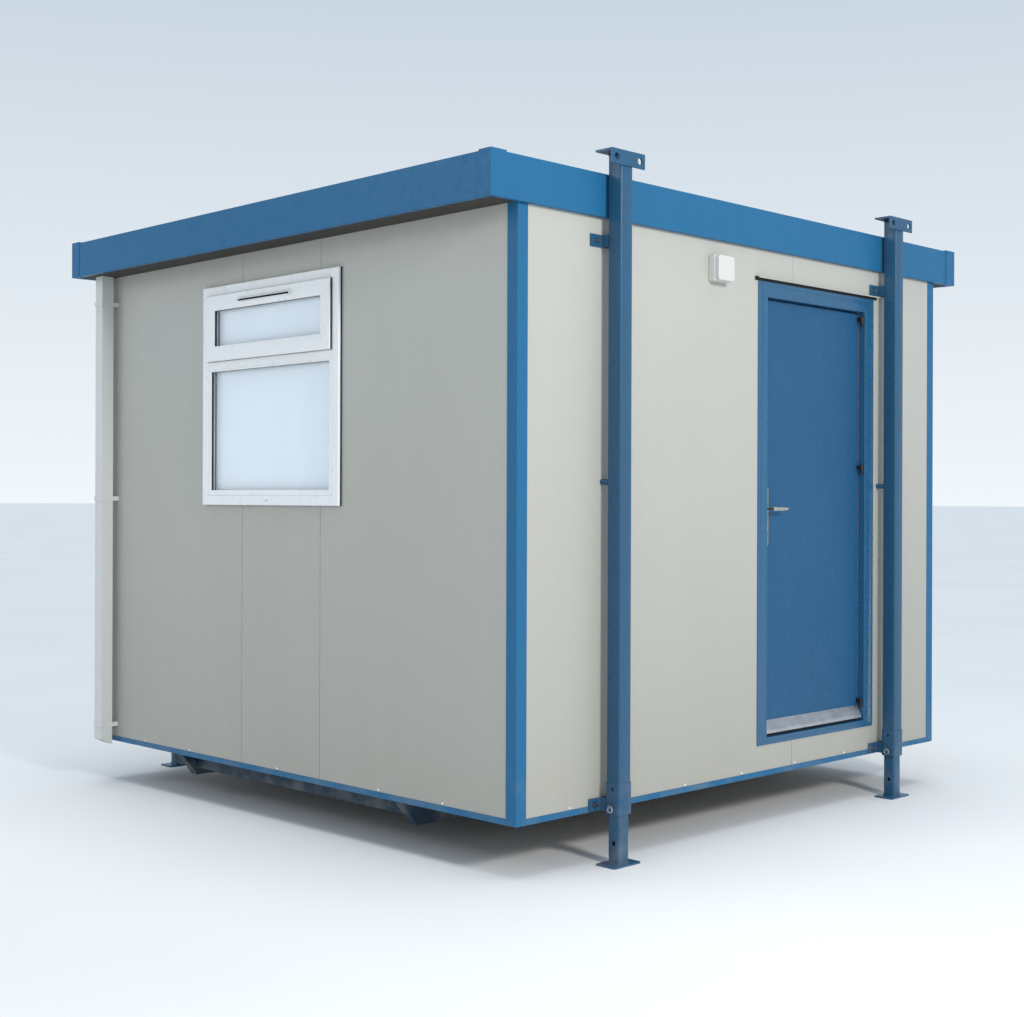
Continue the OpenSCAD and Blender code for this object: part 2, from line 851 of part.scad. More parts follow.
module leg_caps() {
    front = -tube_w / 2 - cap_t;
    color(steel_blue)
        at_legs()
            difference() {
                block([-cap_w / 2, front, leg_top - cap_h], [cap_w / 2, front + cap_d, leg_top]);
                block([-cap_w / 2 - cut, front + cap_t, leg_top - cap_h - cut],
                      [cap_w / 2 + cut, front + cap_d + cut, tube_top]);
                for (side = [-1, 1])
                    translate([side * cap_hole_pitch / 2, front - cut, leg_top - cap_hole_drop])
                        rotate([-90, 0, 0]) cylinder(r = cap_hole_r, h = cap_t + 2 * cut);
            }
}

// Wall plate with a web that carries the tube; the plate lies on the given depth of wall
module leg_cleat(gap, low) {
    left = -tube_w / 2 - cleat_reach;
    wall = tube_w / 2 + gap;
    block([left, wall - cleat_t, low], [tube_w / 2, wall, low + cleat_h]);
    block([-tube_w / 2, tube_w / 2, low], [-tube_w / 2 + cleat_t, wall, low + cleat_h]);
    block([tube_w / 2 - cleat_t, tube_w / 2, low], [tube_w / 2, wall, low + cleat_h]);
}

module leg_cleats() {
    color(steel_blue)
        at_legs() {
            leg_cleat(tube_gap, fascia_z - cleat_drop);
            translate([-tube_w / 2 + spacer_r, tube_w / 2, base_z + spacer_lift])
                rotate([-90, 0, 0]) cylinder(r = spacer_r, h = tube_gap);
        }
}

module leg_brackets() {
    gap = tube_gap - post_proud;
    low = base_z + bracket_lift;
    color(steel_blue)
        at_legs()
            difference() {
                leg_cleat(gap, low);
                block([-collar_w / 2, -collar_w / 2, low - cut],
                      [collar_w / 2, collar_w / 2, low + cleat_h + cut]);
            }
}

module leg_pins() {
    start = collar_w / 2 + pin_out;
    color(zinc)
        at_legs()
            translate([0, 0, pin_z]) {
                translate([-start, 0, 0])
                    rotate([0, 90, 0]) cylinder(r = pin_r, h = start - bore_w / 2);
                translate([-start + pin_r, 0, -ring_r])
                    rotate([0, 90, 0])
                        rotate_extrude() translate([ring_r, 0]) circle(r = wire_r);
            }
}

// Inner leg with its foot plate, centred on the origin
module inner_leg() {
    color(steel_blue)
        difference() {
            union() {
                block([-foot_x / 2, -foot_y / 2, 0], [foot_x / 2, foot_y / 2, foot_t]);
                square_tube(inner_w, inner_t, 0, inner_l);
            }
            for (i = [0:2])
                translate([-foot_x / 2, 0, pin_hole_z + i * pin_pitch])
                    rotate([0, 90, 0]) cylinder(r = pin_hole_r, h = foot_x);
        }
}

module leg_front_left() {
    translate([-leg_x, -leg_y, 0]) inner_leg();
}

module leg_front_right() {
    translate([leg_x, -leg_y, 0]) inner_leg();
}

module leg_back_left() {
    translate([-leg_x, leg_y, 0]) inner_leg();
}

module leg_back_right() {
    translate([leg_x, leg_y, 0]) inner_leg();
}

front_wall();
door_bay_panels();
left_wall();
right_wall();
back_wall();
corner_posts();
base_rails();
floor_joists();
floor_deck();
skid_runners();
cross_beams();
roof_panel();
roof_sheet();
roof_gutters();
soffit_boards();
roof_fascias();
fascia_corner_caps();
door_jambs();
door_head();
door_threshold();
door_drip_bar();
hinge_pintles();
door_leaf();
hinge_knuckles();
door_weather_bar();
handle_plates();
lock_cylinders();
door_levers();
window_frame();
window_panes();
fanlight_sash();
trickle_vent();
junction_box();
junction_box_lid();
downpipes();
pipe_clips();
leg_tubes();
leg_caps();
leg_cleats();
leg_brackets();
leg_pins();
leg_front_left();
leg_front_right();
leg_back_left();
leg_back_right();
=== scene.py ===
"""Looks of the portable site cabin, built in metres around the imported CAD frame."""
import json
from math import cos, pi, radians, sin

import bmesh
import bpy
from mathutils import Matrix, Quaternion, Vector


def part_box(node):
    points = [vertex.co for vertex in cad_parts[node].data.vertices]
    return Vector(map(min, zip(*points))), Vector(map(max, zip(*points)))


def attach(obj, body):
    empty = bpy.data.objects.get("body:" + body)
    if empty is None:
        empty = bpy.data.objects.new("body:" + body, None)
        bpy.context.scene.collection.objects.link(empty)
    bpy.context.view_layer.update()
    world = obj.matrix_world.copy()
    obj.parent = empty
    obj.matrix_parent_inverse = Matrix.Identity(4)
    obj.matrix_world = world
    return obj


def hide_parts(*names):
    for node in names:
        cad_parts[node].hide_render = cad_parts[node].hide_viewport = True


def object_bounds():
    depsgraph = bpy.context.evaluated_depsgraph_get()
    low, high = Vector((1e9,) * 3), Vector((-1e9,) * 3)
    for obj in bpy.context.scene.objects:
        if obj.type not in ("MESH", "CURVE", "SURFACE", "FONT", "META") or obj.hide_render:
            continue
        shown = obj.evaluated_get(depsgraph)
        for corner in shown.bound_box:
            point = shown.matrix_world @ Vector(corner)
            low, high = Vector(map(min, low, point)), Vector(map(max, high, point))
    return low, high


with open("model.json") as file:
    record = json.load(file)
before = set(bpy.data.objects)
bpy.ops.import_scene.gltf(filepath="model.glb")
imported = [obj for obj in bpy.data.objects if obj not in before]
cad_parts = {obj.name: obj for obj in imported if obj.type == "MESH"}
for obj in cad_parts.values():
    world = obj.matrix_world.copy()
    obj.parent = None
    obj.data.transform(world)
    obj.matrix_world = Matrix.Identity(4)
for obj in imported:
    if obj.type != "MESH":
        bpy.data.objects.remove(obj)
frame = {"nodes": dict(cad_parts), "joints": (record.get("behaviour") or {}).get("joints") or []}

CAD_LOW, CAD_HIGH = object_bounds()
NODES = frame["nodes"]
MM = 0.001


# ---------------------------------------- reading the frame
def levels(node, axis):
    """Every distinct coordinate of a CAD node's corners along an axis, in order, to 0.1 mm."""
    index = "xyz".index(axis)
    return sorted({round(v.co[index], 4) for v in NODES[node].data.vertices})


def inset(rect, d):
    """A rectangle (u0, v0, u1, v1) made smaller by d on every side."""
    return (rect[0] + d, rect[1] + d, rect[2] - d, rect[3] - d)


FACE_X = -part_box("left_wall")[0].x
FACE_Y = -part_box("front_wall")[0].y
WALL_T = FACE_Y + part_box("front_wall")[1].y
PANEL_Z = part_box("front_wall")[0].z
ROOF_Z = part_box("front_wall")[1].z
JOINTS_ACROSS = levels("right_wall", "y")[1:5]
JOINT_DOOR = levels("door_bay_panels", "x")[1:3]

# Places on each wall: u runs along the wall, v is height and h is how far a point stands out.
ON_FRONT = lambda u, v, h: Vector((u, -FACE_Y - h, v))
ON_BACK = lambda u, v, h: Vector((u, FACE_Y + h, v))
ON_LEFT = lambda u, v, h: Vector((-FACE_X - h, u, v))
ON_RIGHT = lambda u, v, h: Vector((FACE_X + h, u, v))
UPRIGHT = lambda u, v, h: Vector((u, v, h))


# ---------------------------------------- shapes
def rounded(width, depth, radius, steps=4):
    """Outline of a rectangle with round corners, centred, counter-clockwise."""
    points = []
    for k, (sx, sy) in enumerate(((1, 1), (-1, 1), (-1, -1), (1, -1))):
        cx, cy = sx * (width / 2 - radius), sy * (depth / 2 - radius)
        for i in range(steps + 1):
            a = pi / 2 * (k + i / steps)
            points.append((cx + radius * cos(a), cy + radius * sin(a)))
    return points


class Shape:
    """A mesh in the making; each method adds one closed solid, in metres in the CAD frame."""

    def __init__(self):
        self.bm = bmesh.new()

    def loft(self, rings, closed=False):
        """Skin over rings with equally many points, capped unless it closes on itself."""
        made = [[self.bm.verts.new(p) for p in ring] for ring in rings]
        pairs = list(zip(made, made[1:]))
        if closed:
            pairs.append((made[-1], made[0]))
        for a, b in pairs:
            for i in range(len(a)):
                j = (i + 1) % len(a)
                self.bm.faces.new((a[i], a[j], b[j], b[i]))
        if not closed:
            self.bm.faces.new(list(reversed(made[0])))
            self.bm.faces.new(made[-1])

    def block(self, low, high):
        """Box between two corners."""
        ring = [(low[0], low[1]), (high[0], low[1]), (high[0], high[1]), (low[0], high[1])]
        self.loft([[(x, y, z) for x, y in ring] for z in (low[2], high[2])])

    def prism(self, outline, start, end, place):
        """Outline (u, v) drawn out from h = start to h = end."""
        self.loft([[place(u, v, h) for u, v in outline] for h in (start, end)])

    def lathe(self, profile, place, steps=16):
        """Round solid: profile is (radius, h) from one end to the other, round u = v = 0."""
        turns = [2 * pi * i / steps for i in range(steps)]
        self.loft([[place(r * cos(a), r * sin(a), h) for a in turns] for r, h in profile])

    def rim(self, section, place):
        """Mitred frame: section is a closed loop of (rectangle, h)."""
        corners = ((0, 1), (2, 1), (2, 3), (0, 3))
        self.loft([[place(rect[i], rect[j], h) for rect, h in section] for i, j in corners], closed=True)

    def tube(self, outer, inner, low, high, place):
        """Hollow extrusion between two outlines with equally many points."""
        rings = [(outer, low), (outer, high), (inner, high), (inner, low)]
        self.loft([[place(u, v, h) for u, v in line] for line, h in rings], closed=True)


def around(place, u, v, h=0.0):
    """The same wall place with its middle moved to u, v, h."""
    return lambda a, b, c: place(u + a, v + b, h + c)


def object_from(name, shape):
    """Turns a shape into a linked object whose faces point outwards."""
    bmesh.ops.recalc_face_normals(shape.bm, faces=shape.bm.faces)
    mesh = bpy.data.meshes.new(name)
    shape.bm.to_mesh(mesh)
    shape.bm.free()
    obj = bpy.data.objects.new(name, mesh)
    bpy.context.scene.collection.objects.link(obj)
    return obj


def soften(obj, width, segments=2):
    """Rounds the sharp edges with real geometry."""
    bevel = obj.modifiers.new("soft_edges", "BEVEL")
    bevel.width = width
    bevel.segments = segments
    bevel.limit_method = "ANGLE"
    bevel.angle_limit = radians(40)
    bevel.harden_normals = True


def drill(obj, holes):
    """Cuts the solids of another shape out of an object and keeps the result as its mesh."""
    cutter = object_from("cutter", holes)
    cut = obj.modifiers.new("holes", "BOOLEAN")
    cut.object = cutter
    cut.solver = "EXACT"
    evaluated = obj.evaluated_get(bpy.context.evaluated_depsgraph_get())
    solid = bpy.data.meshes.new_from_object(evaluated)
    obj.modifiers.clear()
    obj.data = solid
    bpy.data.objects.remove(cutter)


def piece(name, shape, look, body="cabin", bevel=0.0, holes=None, stands_for=()):
    """A finished visual piece: shape, cut holes, material, softened edges and the body it rides."""
    obj = object_from(name, shape)
    if holes:
        drill(obj, holes)
    obj.data.materials.clear()
    obj.data.materials.append(look)
    obj.data.shade_smooth()
    obj.data.set_sharp_from_angle(angle=radians(40))
    if bevel:
        soften(obj, bevel)
    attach(obj, body)
    if stands_for:
        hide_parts(*stands_for)
    return obj


# ---------------------------------------- materials
def shade(color, factor):
    """A colour made lighter or darker."""
    return tuple(min(1.0, c * factor) for c in color)


class Look:
    """A procedural material: each helper adds nodes and returns an output socket."""

    def __init__(self, name, **sockets):
        self.material = bpy.data.materials.new(name)
        self.material.use_nodes = True
        self.tree = self.material.node_tree
        self.shader = self.tree.nodes["Principled BSDF"]
        for label, value in sockets.items():
            self.shader.inputs[label.replace("_", " ")].default_value = value
        self.where = self.add("ShaderNodeTexCoord").outputs["Object"]
        self.height = None

    def add(self, kind, **settings):
        """A new node of the material."""
        made = self.tree.nodes.new(kind)
        for key, value in settings.items():
            setattr(made, key, value)
        return made

    def feed(self, target, value):
        """Links a socket, or sets a plain number or colour."""
        if isinstance(value, bpy.types.NodeSocket):
            self.tree.links.new(value, target)
        elif isinstance(value, tuple) and len(value) == 3 and target.type == "RGBA":
            target.default_value = (*value, 1.0)
        else:
            target.default_value = value

    def noise(self, scale, detail=3.0, stretch=(1.0, 1.0, 1.0), distortion=0.0):
        """Cloudy value with its features 1/scale metres apart, stretched along an axis if asked."""
        mapping = self.add("ShaderNodeMapping")
        self.feed(mapping.inputs["Vector"], self.where)
        self.feed(mapping.inputs["Scale"], stretch)
        made = self.add("ShaderNodeTexNoise")
        self.feed(made.inputs["Vector"], mapping.outputs["Vector"])
        self.feed(made.inputs["Scale"], scale)
        self.feed(made.inputs["Detail"], detail)
        self.feed(made.inputs["Distortion"], distortion)
        return made.outputs["Fac"]

    def cells(self, scale, stretch=(1.0, 1.0, 1.0)):
        """Distance to scattered points, for grain and speckle."""
        mapping = self.add("ShaderNodeMapping")
        self.feed(mapping.inputs["Vector"], self.where)
        self.feed(mapping.inputs["Scale"], stretch)
        made = self.add("ShaderNodeTexVoronoi")
        self.feed(made.inputs["Vector"], mapping.outputs["Vector"])
        self.feed(made.inputs["Scale"], scale)
        return made.outputs["Distance"]

    def along(self, axis):
        """The object's own coordinate along an axis, in metres."""
        split = self.add("ShaderNodeSeparateXYZ")
        self.feed(split.inputs["Vector"], self.where)
        return split.outputs[axis.upper()]

    def remap(self, value, low, high, to_low=0.0, to_high=1.0):
        """Spreads low..high over to_low..to_high and stops at both ends."""
        made = self.add("ShaderNodeMapRange", clamp=True)
        for label, number in zip(("Value", "From Min", "From Max", "To Min", "To Max"),
                                 (value, low, high, to_low, to_high)):
            self.feed(made.inputs[label], number)
        return made.outputs["Result"]

    def math(self, operation, a, b):
        """One sum of two values."""
        made = self.add("ShaderNodeMath", operation=operation)
        self.feed(made.inputs[0], a)
        self.feed(made.inputs[1], b)
        return made.outputs["Value"]

    def blend(self, amount, a, b):
        """Colour a where amount is 0 and b where it is 1."""
        made = self.add("ShaderNodeMix", data_type="RGBA")
        self.feed(made.inputs["Factor"], amount)
        first, second = [i for i in made.inputs if i.type == "RGBA"]
        self.feed(first, a)
        self.feed(second, b)
        return next(o for o in made.outputs if o.type == "RGBA")

    def rough(self, value, low, high, around=0.35):
        """Roughness from low to high, following a cloudy value."""
        self.feed(self.shader.inputs["Roughness"], self.remap(value, around, 1 - around, low, high))

    def relief(self, value, depth):
        """Adds one layer of bump, depth metres from 0 to 1, over the layers before it."""
        made = self.add("ShaderNodeBump")
        self.feed(made.inputs["Height"], value)
        made.inputs["Distance"].default_value = depth
        if self.height:
            self.feed(made.inputs["Normal"], self.height)
        self.height = made.outputs["Normal"]
        self.feed(self.shader.inputs["Normal"], self.height)

    def color(self, value):
        """Sets the base colour and hands over the finished material."""
        self.feed(self.shader.inputs["Base Color"], value)
        return self.material


# Dust colour; coated_steel also uses it, darkened, for painted shade low on the walls.
DUST_AND_SHADE = (0.34, 0.31, 0.25)
RUST = (0.16, 0.07, 0.035)


def coated_steel(name, color, grain, rough=0.42, gloss=0.3, painted_light=0.34):
    """Plastisol-coated sheet: leather grain, faint vertical streaks, a little dust low down, and painted
    shade that darkens it towards the bottom.
    """
    look = Look(name, Specular_IOR_Level=gloss)
    cloud = look.noise(1.1, 4.0)
    mottle = look.noise(55.0, 4.0)
    streak = look.noise(14.0, 3.0, (1.0, 1.0, 0.05))
    tone = look.math("ADD", look.math("MULTIPLY", cloud, 0.5), look.math("MULTIPLY", mottle, 0.25))
    tone = look.math("ADD", tone, look.math("MULTIPLY", streak, 0.25))
    base = look.blend(look.remap(tone, 0.36, 0.64), shade(color, 0.965), shade(color, 1.025))
    height = look.along("z")
    # Painted shade: the colour darkens smoothly from 2.3 m down to 0.2 m, standing in for less light low on
    # the walls.
    base = look.blend(look.remap(height, 0.2, 2.3, painted_light, 0.0), base, shade(DUST_AND_SHADE, 0.8))
    low = look.remap(height, 0.20, 0.60, 1.0, 0.0)
    dirt = look.math("MULTIPLY", low, look.remap(look.noise(7.0, 6.0), 0.42, 0.75, 0.0, 0.22))
    look.rough(look.noise(23.0, 4.0), rough - 0.06, rough + 0.10)
    look.relief(look.noise(0.9, 2.0), 1.2 * MM)
    look.relief(look.cells(420.0, (1.0, 1.0, 0.6)), grain)
    return look.color(look.blend(dirt, base, DUST_AND_SHADE))


def painted_steel(name, color, rough=0.34, wear=0.0, coat=0.2, gloss=0.3):
    """Sprayed gloss paint: orange peel, runs, scuffs and chips down to primer and rust."""
    look = Look(name, Specular_IOR_Level=gloss, Coat_Weight=coat, Coat_Roughness=0.18)
    cloud = look.noise(2.3, 4.0)
    streak = look.noise(30.0, 3.0, (1.0, 1.0, 0.08))
    tone = look.math("ADD", look.math("MULTIPLY", cloud, 0.6), look.math("MULTIPLY", streak, 0.4))
    base = look.blend(look.remap(tone, 0.34, 0.66), shade(color, 0.95), shade(color, 1.04))
    scuff = look.remap(look.noise(60.0, 6.0, (1.0, 1.0, 0.35), 0.4), 0.68, 0.80, 0.0, 0.06 + 0.12 * wear)
    base = look.blend(scuff, base, shade(color, 1.5))
    chip = look.remap(look.noise(85.0, 5.0), 0.745 - 0.04 * wear, 0.755 - 0.04 * wear)
    low = look.remap(look.along("z"), 0.05, 0.45, 1.0, 0.0)
    chip = look.math("MULTIPLY", chip, low)
    base = look.blend(chip, base, RUST)
    dirt = look.math("MULTIPLY", low, look.remap(look.noise(11.0, 6.0), 0.45, 0.75, 0.0, 0.45 * wear))
    look.rough(look.noise(30.0, 4.0), rough - 0.07, rough + 0.12)
    look.relief(look.noise(260.0, 2.0), 0.06 * MM)
    look.relief(look.math("SUBTRACT", 1.0, chip), 0.10 * MM)
    return look.color(look.blend(dirt, base, DUST_AND_SHADE))


def moulded(name, color, rough=0.28):
    """White rigid plastic: fine ripple, faint yellowing and dust."""
    look = Look(name, Specular_IOR_Level=0.5, Coat_Weight=0.1, Coat_Roughness=0.12)
    cloud = look.noise(3.0, 4.0)
    base = look.blend(look.remap(cloud, 0.36, 0.64), shade(color, 0.99), color)
    grime = look.remap(look.noise(9.0, 5.0), 0.55, 0.85, 0.0, 0.015)
    look.rough(look.noise(12.0, 3.0), rough - 0.02, rough + 0.03)
    look.relief(look.noise(120.0, 2.0), 0.004 * MM)
    return look.color(look.blend(grime, base, shade(DUST_AND_SHADE, 1.5)))


def bare_metal(name, color, rough, grain=(1.0, 1.0, 1.0), tarnish=0.3):
    """Brushed or plated metal: fine lines along one axis, smears and tarnish."""
    look = Look(name, Metallic=1.0)
    brush = look.noise(420.0, 3.0, grain)
    cloud = look.noise(18.0, 5.0)
    base = look.blend(look.remap(cloud, 0.35, 0.65), shade(color, 1.0 - tarnish), shade(color, 1.06))
    look.rough(look.math("ADD", look.math("MULTIPLY", brush, 0.5), look.math("MULTIPLY", cloud, 0.5)),
               rough - 0.08, rough + 0.14)
    look.relief(brush, 0.05 * MM)
    return look.color(base)


def rubber(name, color, rough=0.7):
    """Seals, gaskets and brushes."""
    look = Look(name, Specular_IOR_Level=0.35)
    cloud = look.noise(45.0, 5.0)
    look.rough(cloud, rough - 0.1, rough + 0.1)
    look.relief(look.noise(380.0, 3.0), 0.10 * MM)
    return look.color(look.blend(look.remap(cloud, 0.35, 0.65), shade(color, 0.75), shade(color, 1.3)))


def sawn_timber(name, color):
    """Rough boards with grain along Y."""
    look = Look(name, Specular_IOR_Level=0.3)
    grain = look.noise(60.0, 6.0, (1.0, 0.06, 1.0), 1.2)
    look.rough(grain, 0.65, 0.85)
    look.relief(grain, 0.5 * MM)
    return look.color(look.blend(look.remap(grain, 0.35, 0.65), shade(color, 0.7), shade(color, 1.15)))


def vinyl_floor(name, color):
    """Speckled safety vinyl with scuffs and trodden dust."""
    look = Look(name, Specular_IOR_Level=0.4)
    fleck = look.remap(look.cells(240.0), 0.12, 0.22)
    wear = look.remap(look.noise(2.0, 5.0), 0.45, 0.70, 0.0, 0.5)
    base = look.blend(fleck, shade(color, 1.9), color)
    look.rough(look.noise(6.0, 5.0), 0.42, 0.65)
    look.relief(fleck, 0.15 * MM)
    return look.color(look.blend(wear, base, DUST_AND_SHADE))


def painted_reflection_glass(name, color):
    """Inner pane painted an even pale blue-white, a painted reflection of the bright sky, under a clear
    gloss.
    """
    look = Look(name, Specular_IOR_Level=0.6, Coat_Weight=0.6, Coat_Roughness=0.03)
    cloud = look.noise(1.6, 3.0, (1.0, 1.0, 0.25))
    haze = look.noise(7.0, 3.0, (1.0, 1.0, 0.05))
    tone = look.math("ADD", look.math("MULTIPLY", cloud, 0.7), look.math("MULTIPLY", haze, 0.3))
    look.rough(cloud, 0.10, 0.22)
    look.relief(look.noise(2.5, 2.0), 0.15 * MM)
    return look.color(look.blend(look.remap(tone, 0.35, 0.65), shade(color, 0.95), shade(color, 1.03)))


def clear_glass(name, color):
    """Outer sheet of float glass, almost clear, with a trace of dust."""
    look = Look(name, Specular_IOR_Level=0.8, Alpha=0.07, IOR=1.5)
    smear = look.noise(9.0, 5.0, (1.0, 1.0, 0.3))
    look.rough(smear, 0.02, 0.10)
    look.relief(look.noise(2.0, 2.0), 0.10 * MM)
    return look.color(look.blend(look.remap(smear, 0.35, 0.65), shade(color, 0.94), color))


PANEL = coated_steel("panel_coating", (0.465, 0.462, 0.420), 0.06 * MM)
TRIM_BLUE = coated_steel("trim_coating", (0.016, 0.128, 0.270), 0.20 * MM, 0.40, 0.22, 0.0)
FRAME_BLUE = painted_steel("frame_paint", (0.018, 0.100, 0.205), 0.30, 0.2, 0.3)
DOOR_BLUE = painted_steel("door_paint", (0.014, 0.088, 0.195), 0.42, 0.0, 0.05, 0.22)
LEG_BLUE = painted_steel("leg_paint", (0.020, 0.085, 0.165), 0.34, 0.6, 0.15)
SKID_BLUE = painted_steel("skid_paint", (0.012, 0.035, 0.065), 0.48, 1.0, 0.0)
ROOF_GREY = coated_steel("roof_coating", (0.30, 0.31, 0.31), 0.20 * MM, 0.5)
SOFFIT = rubber("soffit_board", (0.045, 0.040, 0.034), 0.8)
UPVC = moulded("white_upvc", (0.84, 0.845, 0.84))
PALE_TRIM = painted_steel("pale_trim", (0.40, 0.40, 0.37), 0.45, 0.0, 0.0)
BOX_WHITE = moulded("box_plastic", (0.61, 0.61, 0.585), 0.38)
PIPE_WHITE = moulded("pipe_plastic", (0.62, 0.625, 0.60), 0.32)
ALUMINIUM = bare_metal("mill_aluminium", (0.50, 0.51, 0.54), 0.45, (0.02, 1.0, 1.0), 0.06)
ZINC = bare_metal("zinc_plate", (0.62, 0.63, 0.65), 0.34)
BOLT_STEEL = bare_metal("bolt_steel", (0.20, 0.22, 0.26), 0.38)
GUTTER = bare_metal("gutter_zinc", (0.50, 0.51, 0.52), 0.46, (1.0, 0.05, 1.0))
DARK_STEEL = bare_metal("hinge_steel", (0.06, 0.06, 0.065), 0.45)
SATIN = bare_metal("handle_satin", (0.56, 0.53, 0.47), 0.32, (1.0, 1.0, 0.05), 0.08)
PLATE_BRONZE = bare_metal("plate_bronze", (0.36, 0.31, 0.235), 0.36, (1.0, 1.0, 0.05), 0.12)
BRASS = bare_metal("lock_brass", (0.72, 0.48, 0.17), 0.28)
BLACK = rubber("black_gasket", (0.018, 0.018, 0.019))
SEAL = rubber("joint_seal", (0.30, 0.30, 0.275), 0.6)
BROWN_SEAL = rubber("door_seal", (0.190, 0.085, 0.065), 0.6)
TIMBER = sawn_timber("sawn_timber", (0.42, 0.30, 0.17))
VINYL = vinyl_floor("vinyl_floor", (0.17, 0.175, 0.18))
# Painted reflection: the inner panes are coloured like the bright sky that the glass reflects.
REFLECTION_PANE = painted_reflection_glass("painted_reflection_pane", (0.86, 0.92, 0.98))
CLEAR = clear_glass("clear_pane", (0.80, 0.88, 0.92))

NODE_LOOKS = {
    PANEL: ("front_wall", "door_bay_panels", "left_wall", "right_wall", "back_wall", "roof_panel"),
    TRIM_BLUE: ("corner_posts", "base_rails", "roof_fascias", "fascia_corner_caps"),
    FRAME_BLUE: ("door_jambs", "door_head", "door_threshold"),
    DOOR_BLUE: ("door_leaf",),
    LEG_BLUE: ("leg_tubes", "leg_caps", "leg_cleats", "leg_brackets",
               "leg_front_left", "leg_front_right", "leg_back_left", "leg_back_right"),
    SKID_BLUE: ("skid_runners", "cross_beams"),
    ROOF_GREY: ("roof_sheet",),
    GUTTER: ("roof_gutters",),
    SOFFIT: ("soffit_boards",),
    ALUMINIUM: ("door_drip_bar", "door_weather_bar"),
    DARK_STEEL: ("hinge_pintles", "hinge_knuckles"),
    PLATE_BRONZE: ("handle_plates",),
    SATIN: ("door_levers",),
    BRASS: ("lock_cylinders",),
    UPVC: ("window_frame", "fanlight_sash", "trickle_vent"),
    BOX_WHITE: ("junction_box", "junction_box_lid"),
    PIPE_WHITE: ("downpipes", "pipe_clips"),
    REFLECTION_PANE: ("window_panes",),
    ZINC: ("leg_pins",),
    TIMBER: ("floor_joists",),
    VINYL: ("floor_deck",),
}
EDGE_RADIUS = {
    "corner_posts": 2.0 * MM, "base_rails": 1.5 * MM, "roof_fascias": 2.0 * MM,
    "fascia_corner_caps": 0.8 * MM, "front_wall": 1.0 * MM, "door_bay_panels": 1.0 * MM,
    "left_wall": 1.0 * MM, "right_wall": 1.0 * MM, "back_wall": 1.0 * MM, "door_leaf": 1.5 * MM,
    "leg_cleats": 1.0 * MM, "leg_brackets": 1.0 * MM,
    "skid_runners": 3.0 * MM, "cross_beams": 3.0 * MM, "handle_plates": 1.5 * MM,
    "lock_cylinders": 0.6 * MM, "junction_box": 4.0 * MM, "junction_box_lid": 5.0 * MM,
    "downpipes": 1.8 * MM, "pipe_clips": 0.8 * MM, "hinge_knuckles": 0.6 * MM,
    "hinge_pintles": 0.6 * MM, "floor_joists": 2.0 * MM, "roof_gutters": 0.8 * MM,
}


def dress_cad_nodes():
    """Gives every CAD node its material, and rounds the edges of those that stay in view."""
    for look, names in NODE_LOOKS.items():
        for name in names:
            for slot in NODES[name].material_slots:
                slot.material = look
    for name, radius in EDGE_RADIUS.items():
        obj = NODES[name]
        weld = obj.modifiers.new("weld", "WELD")
        weld.merge_threshold = 0.02 * MM
        flat = obj.modifiers.new("one_face_a_side", "DECIMATE")
        flat.decimate_type = "DISSOLVE"
        flat.angle_limit = radians(0.5)
        soften(obj, radius, 3 if radius > 1.5 * MM else 2)


# ---------------------------------------- walls and roof
SEAL_SETBACK = 1.5 * MM
RIVET_RISE = 8 * MM
RIVETS_ACROSS = (-1.11, -0.71, 0.0, 0.71, 1.11)
RIVETS_FRONT = (-1.225, -0.505, -0.105, 0.30, 0.71, 1.225)
RIVET = ((4.6 * MM, -0.5 * MM), (4.6 * MM, 0.4 * MM), (3.6 * MM, 1.7 * MM), (1.5 * MM, 2.4 * MM))


def wall_joints():
    """Grey seal strips in the joints between the wall panels."""
    window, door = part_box("window_frame"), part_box("door_jambs")
    whole = [(PANEL_Z, ROOF_Z)]
    beside_window = [(PANEL_Z, window[0].z), (window[1].z, ROOF_Z)]
    beside_door = [(PANEL_Z, door[0].z), (door[1].z, ROOF_Z)]
    pairs = (JOINTS_ACROSS[0:2], JOINTS_ACROSS[2:4])
    strips = [(ON_LEFT, p, beside_window) for p in pairs] + [(ON_RIGHT, p, whole) for p in pairs]
    strips += [(ON_BACK, p, whole) for p in pairs] + [(ON_FRONT, JOINT_DOOR, beside_door)]
    shape = Shape()
    for place, (u0, u1), spans in strips:
        for low, high in spans:
            outline = [(u0, low), (u1, low), (u1, high), (u0, high)]
            shape.prism(outline, -WALL_T + SEAL_SETBACK, -SEAL_SETBACK, place)
    piece("wall_joint_seals", shape, SEAL)


def wall_rivets():
    """White rivet caps along the foot of each wall."""
    shape = Shape()
    rows = [(ON_FRONT, RIVETS_FRONT), (ON_BACK, RIVETS_ACROSS), (ON_LEFT, RIVETS_ACROSS),
            (ON_RIGHT, RIVETS_ACROSS)]
    for place, row in rows:
        for u in row:
            shape.lathe(RIVET, around(place, u, PANEL_Z + RIVET_RISE), 14)
    piece("wall_rivets", shape, UPVC)


RIB_PITCH = 0.20
RIB_H = 18 * MM
RIB_TOP = 24 * MM
RIB_FOOT = 52 * MM
SHEET_T = 1 * MM
RIDGE_HALF = 0.15
ROOF_SCREWS_X = (-1.45, -0.75, -0.10, 0.10, 0.75, 1.45)
WASHER = ((9 * MM, -1.0 * MM), (9 * MM, 1.2 * MM), (5.5 * MM, 1.6 * MM), (5.5 * MM, 5.5 * MM),
          (4.5 * MM, 6.2 * MM))


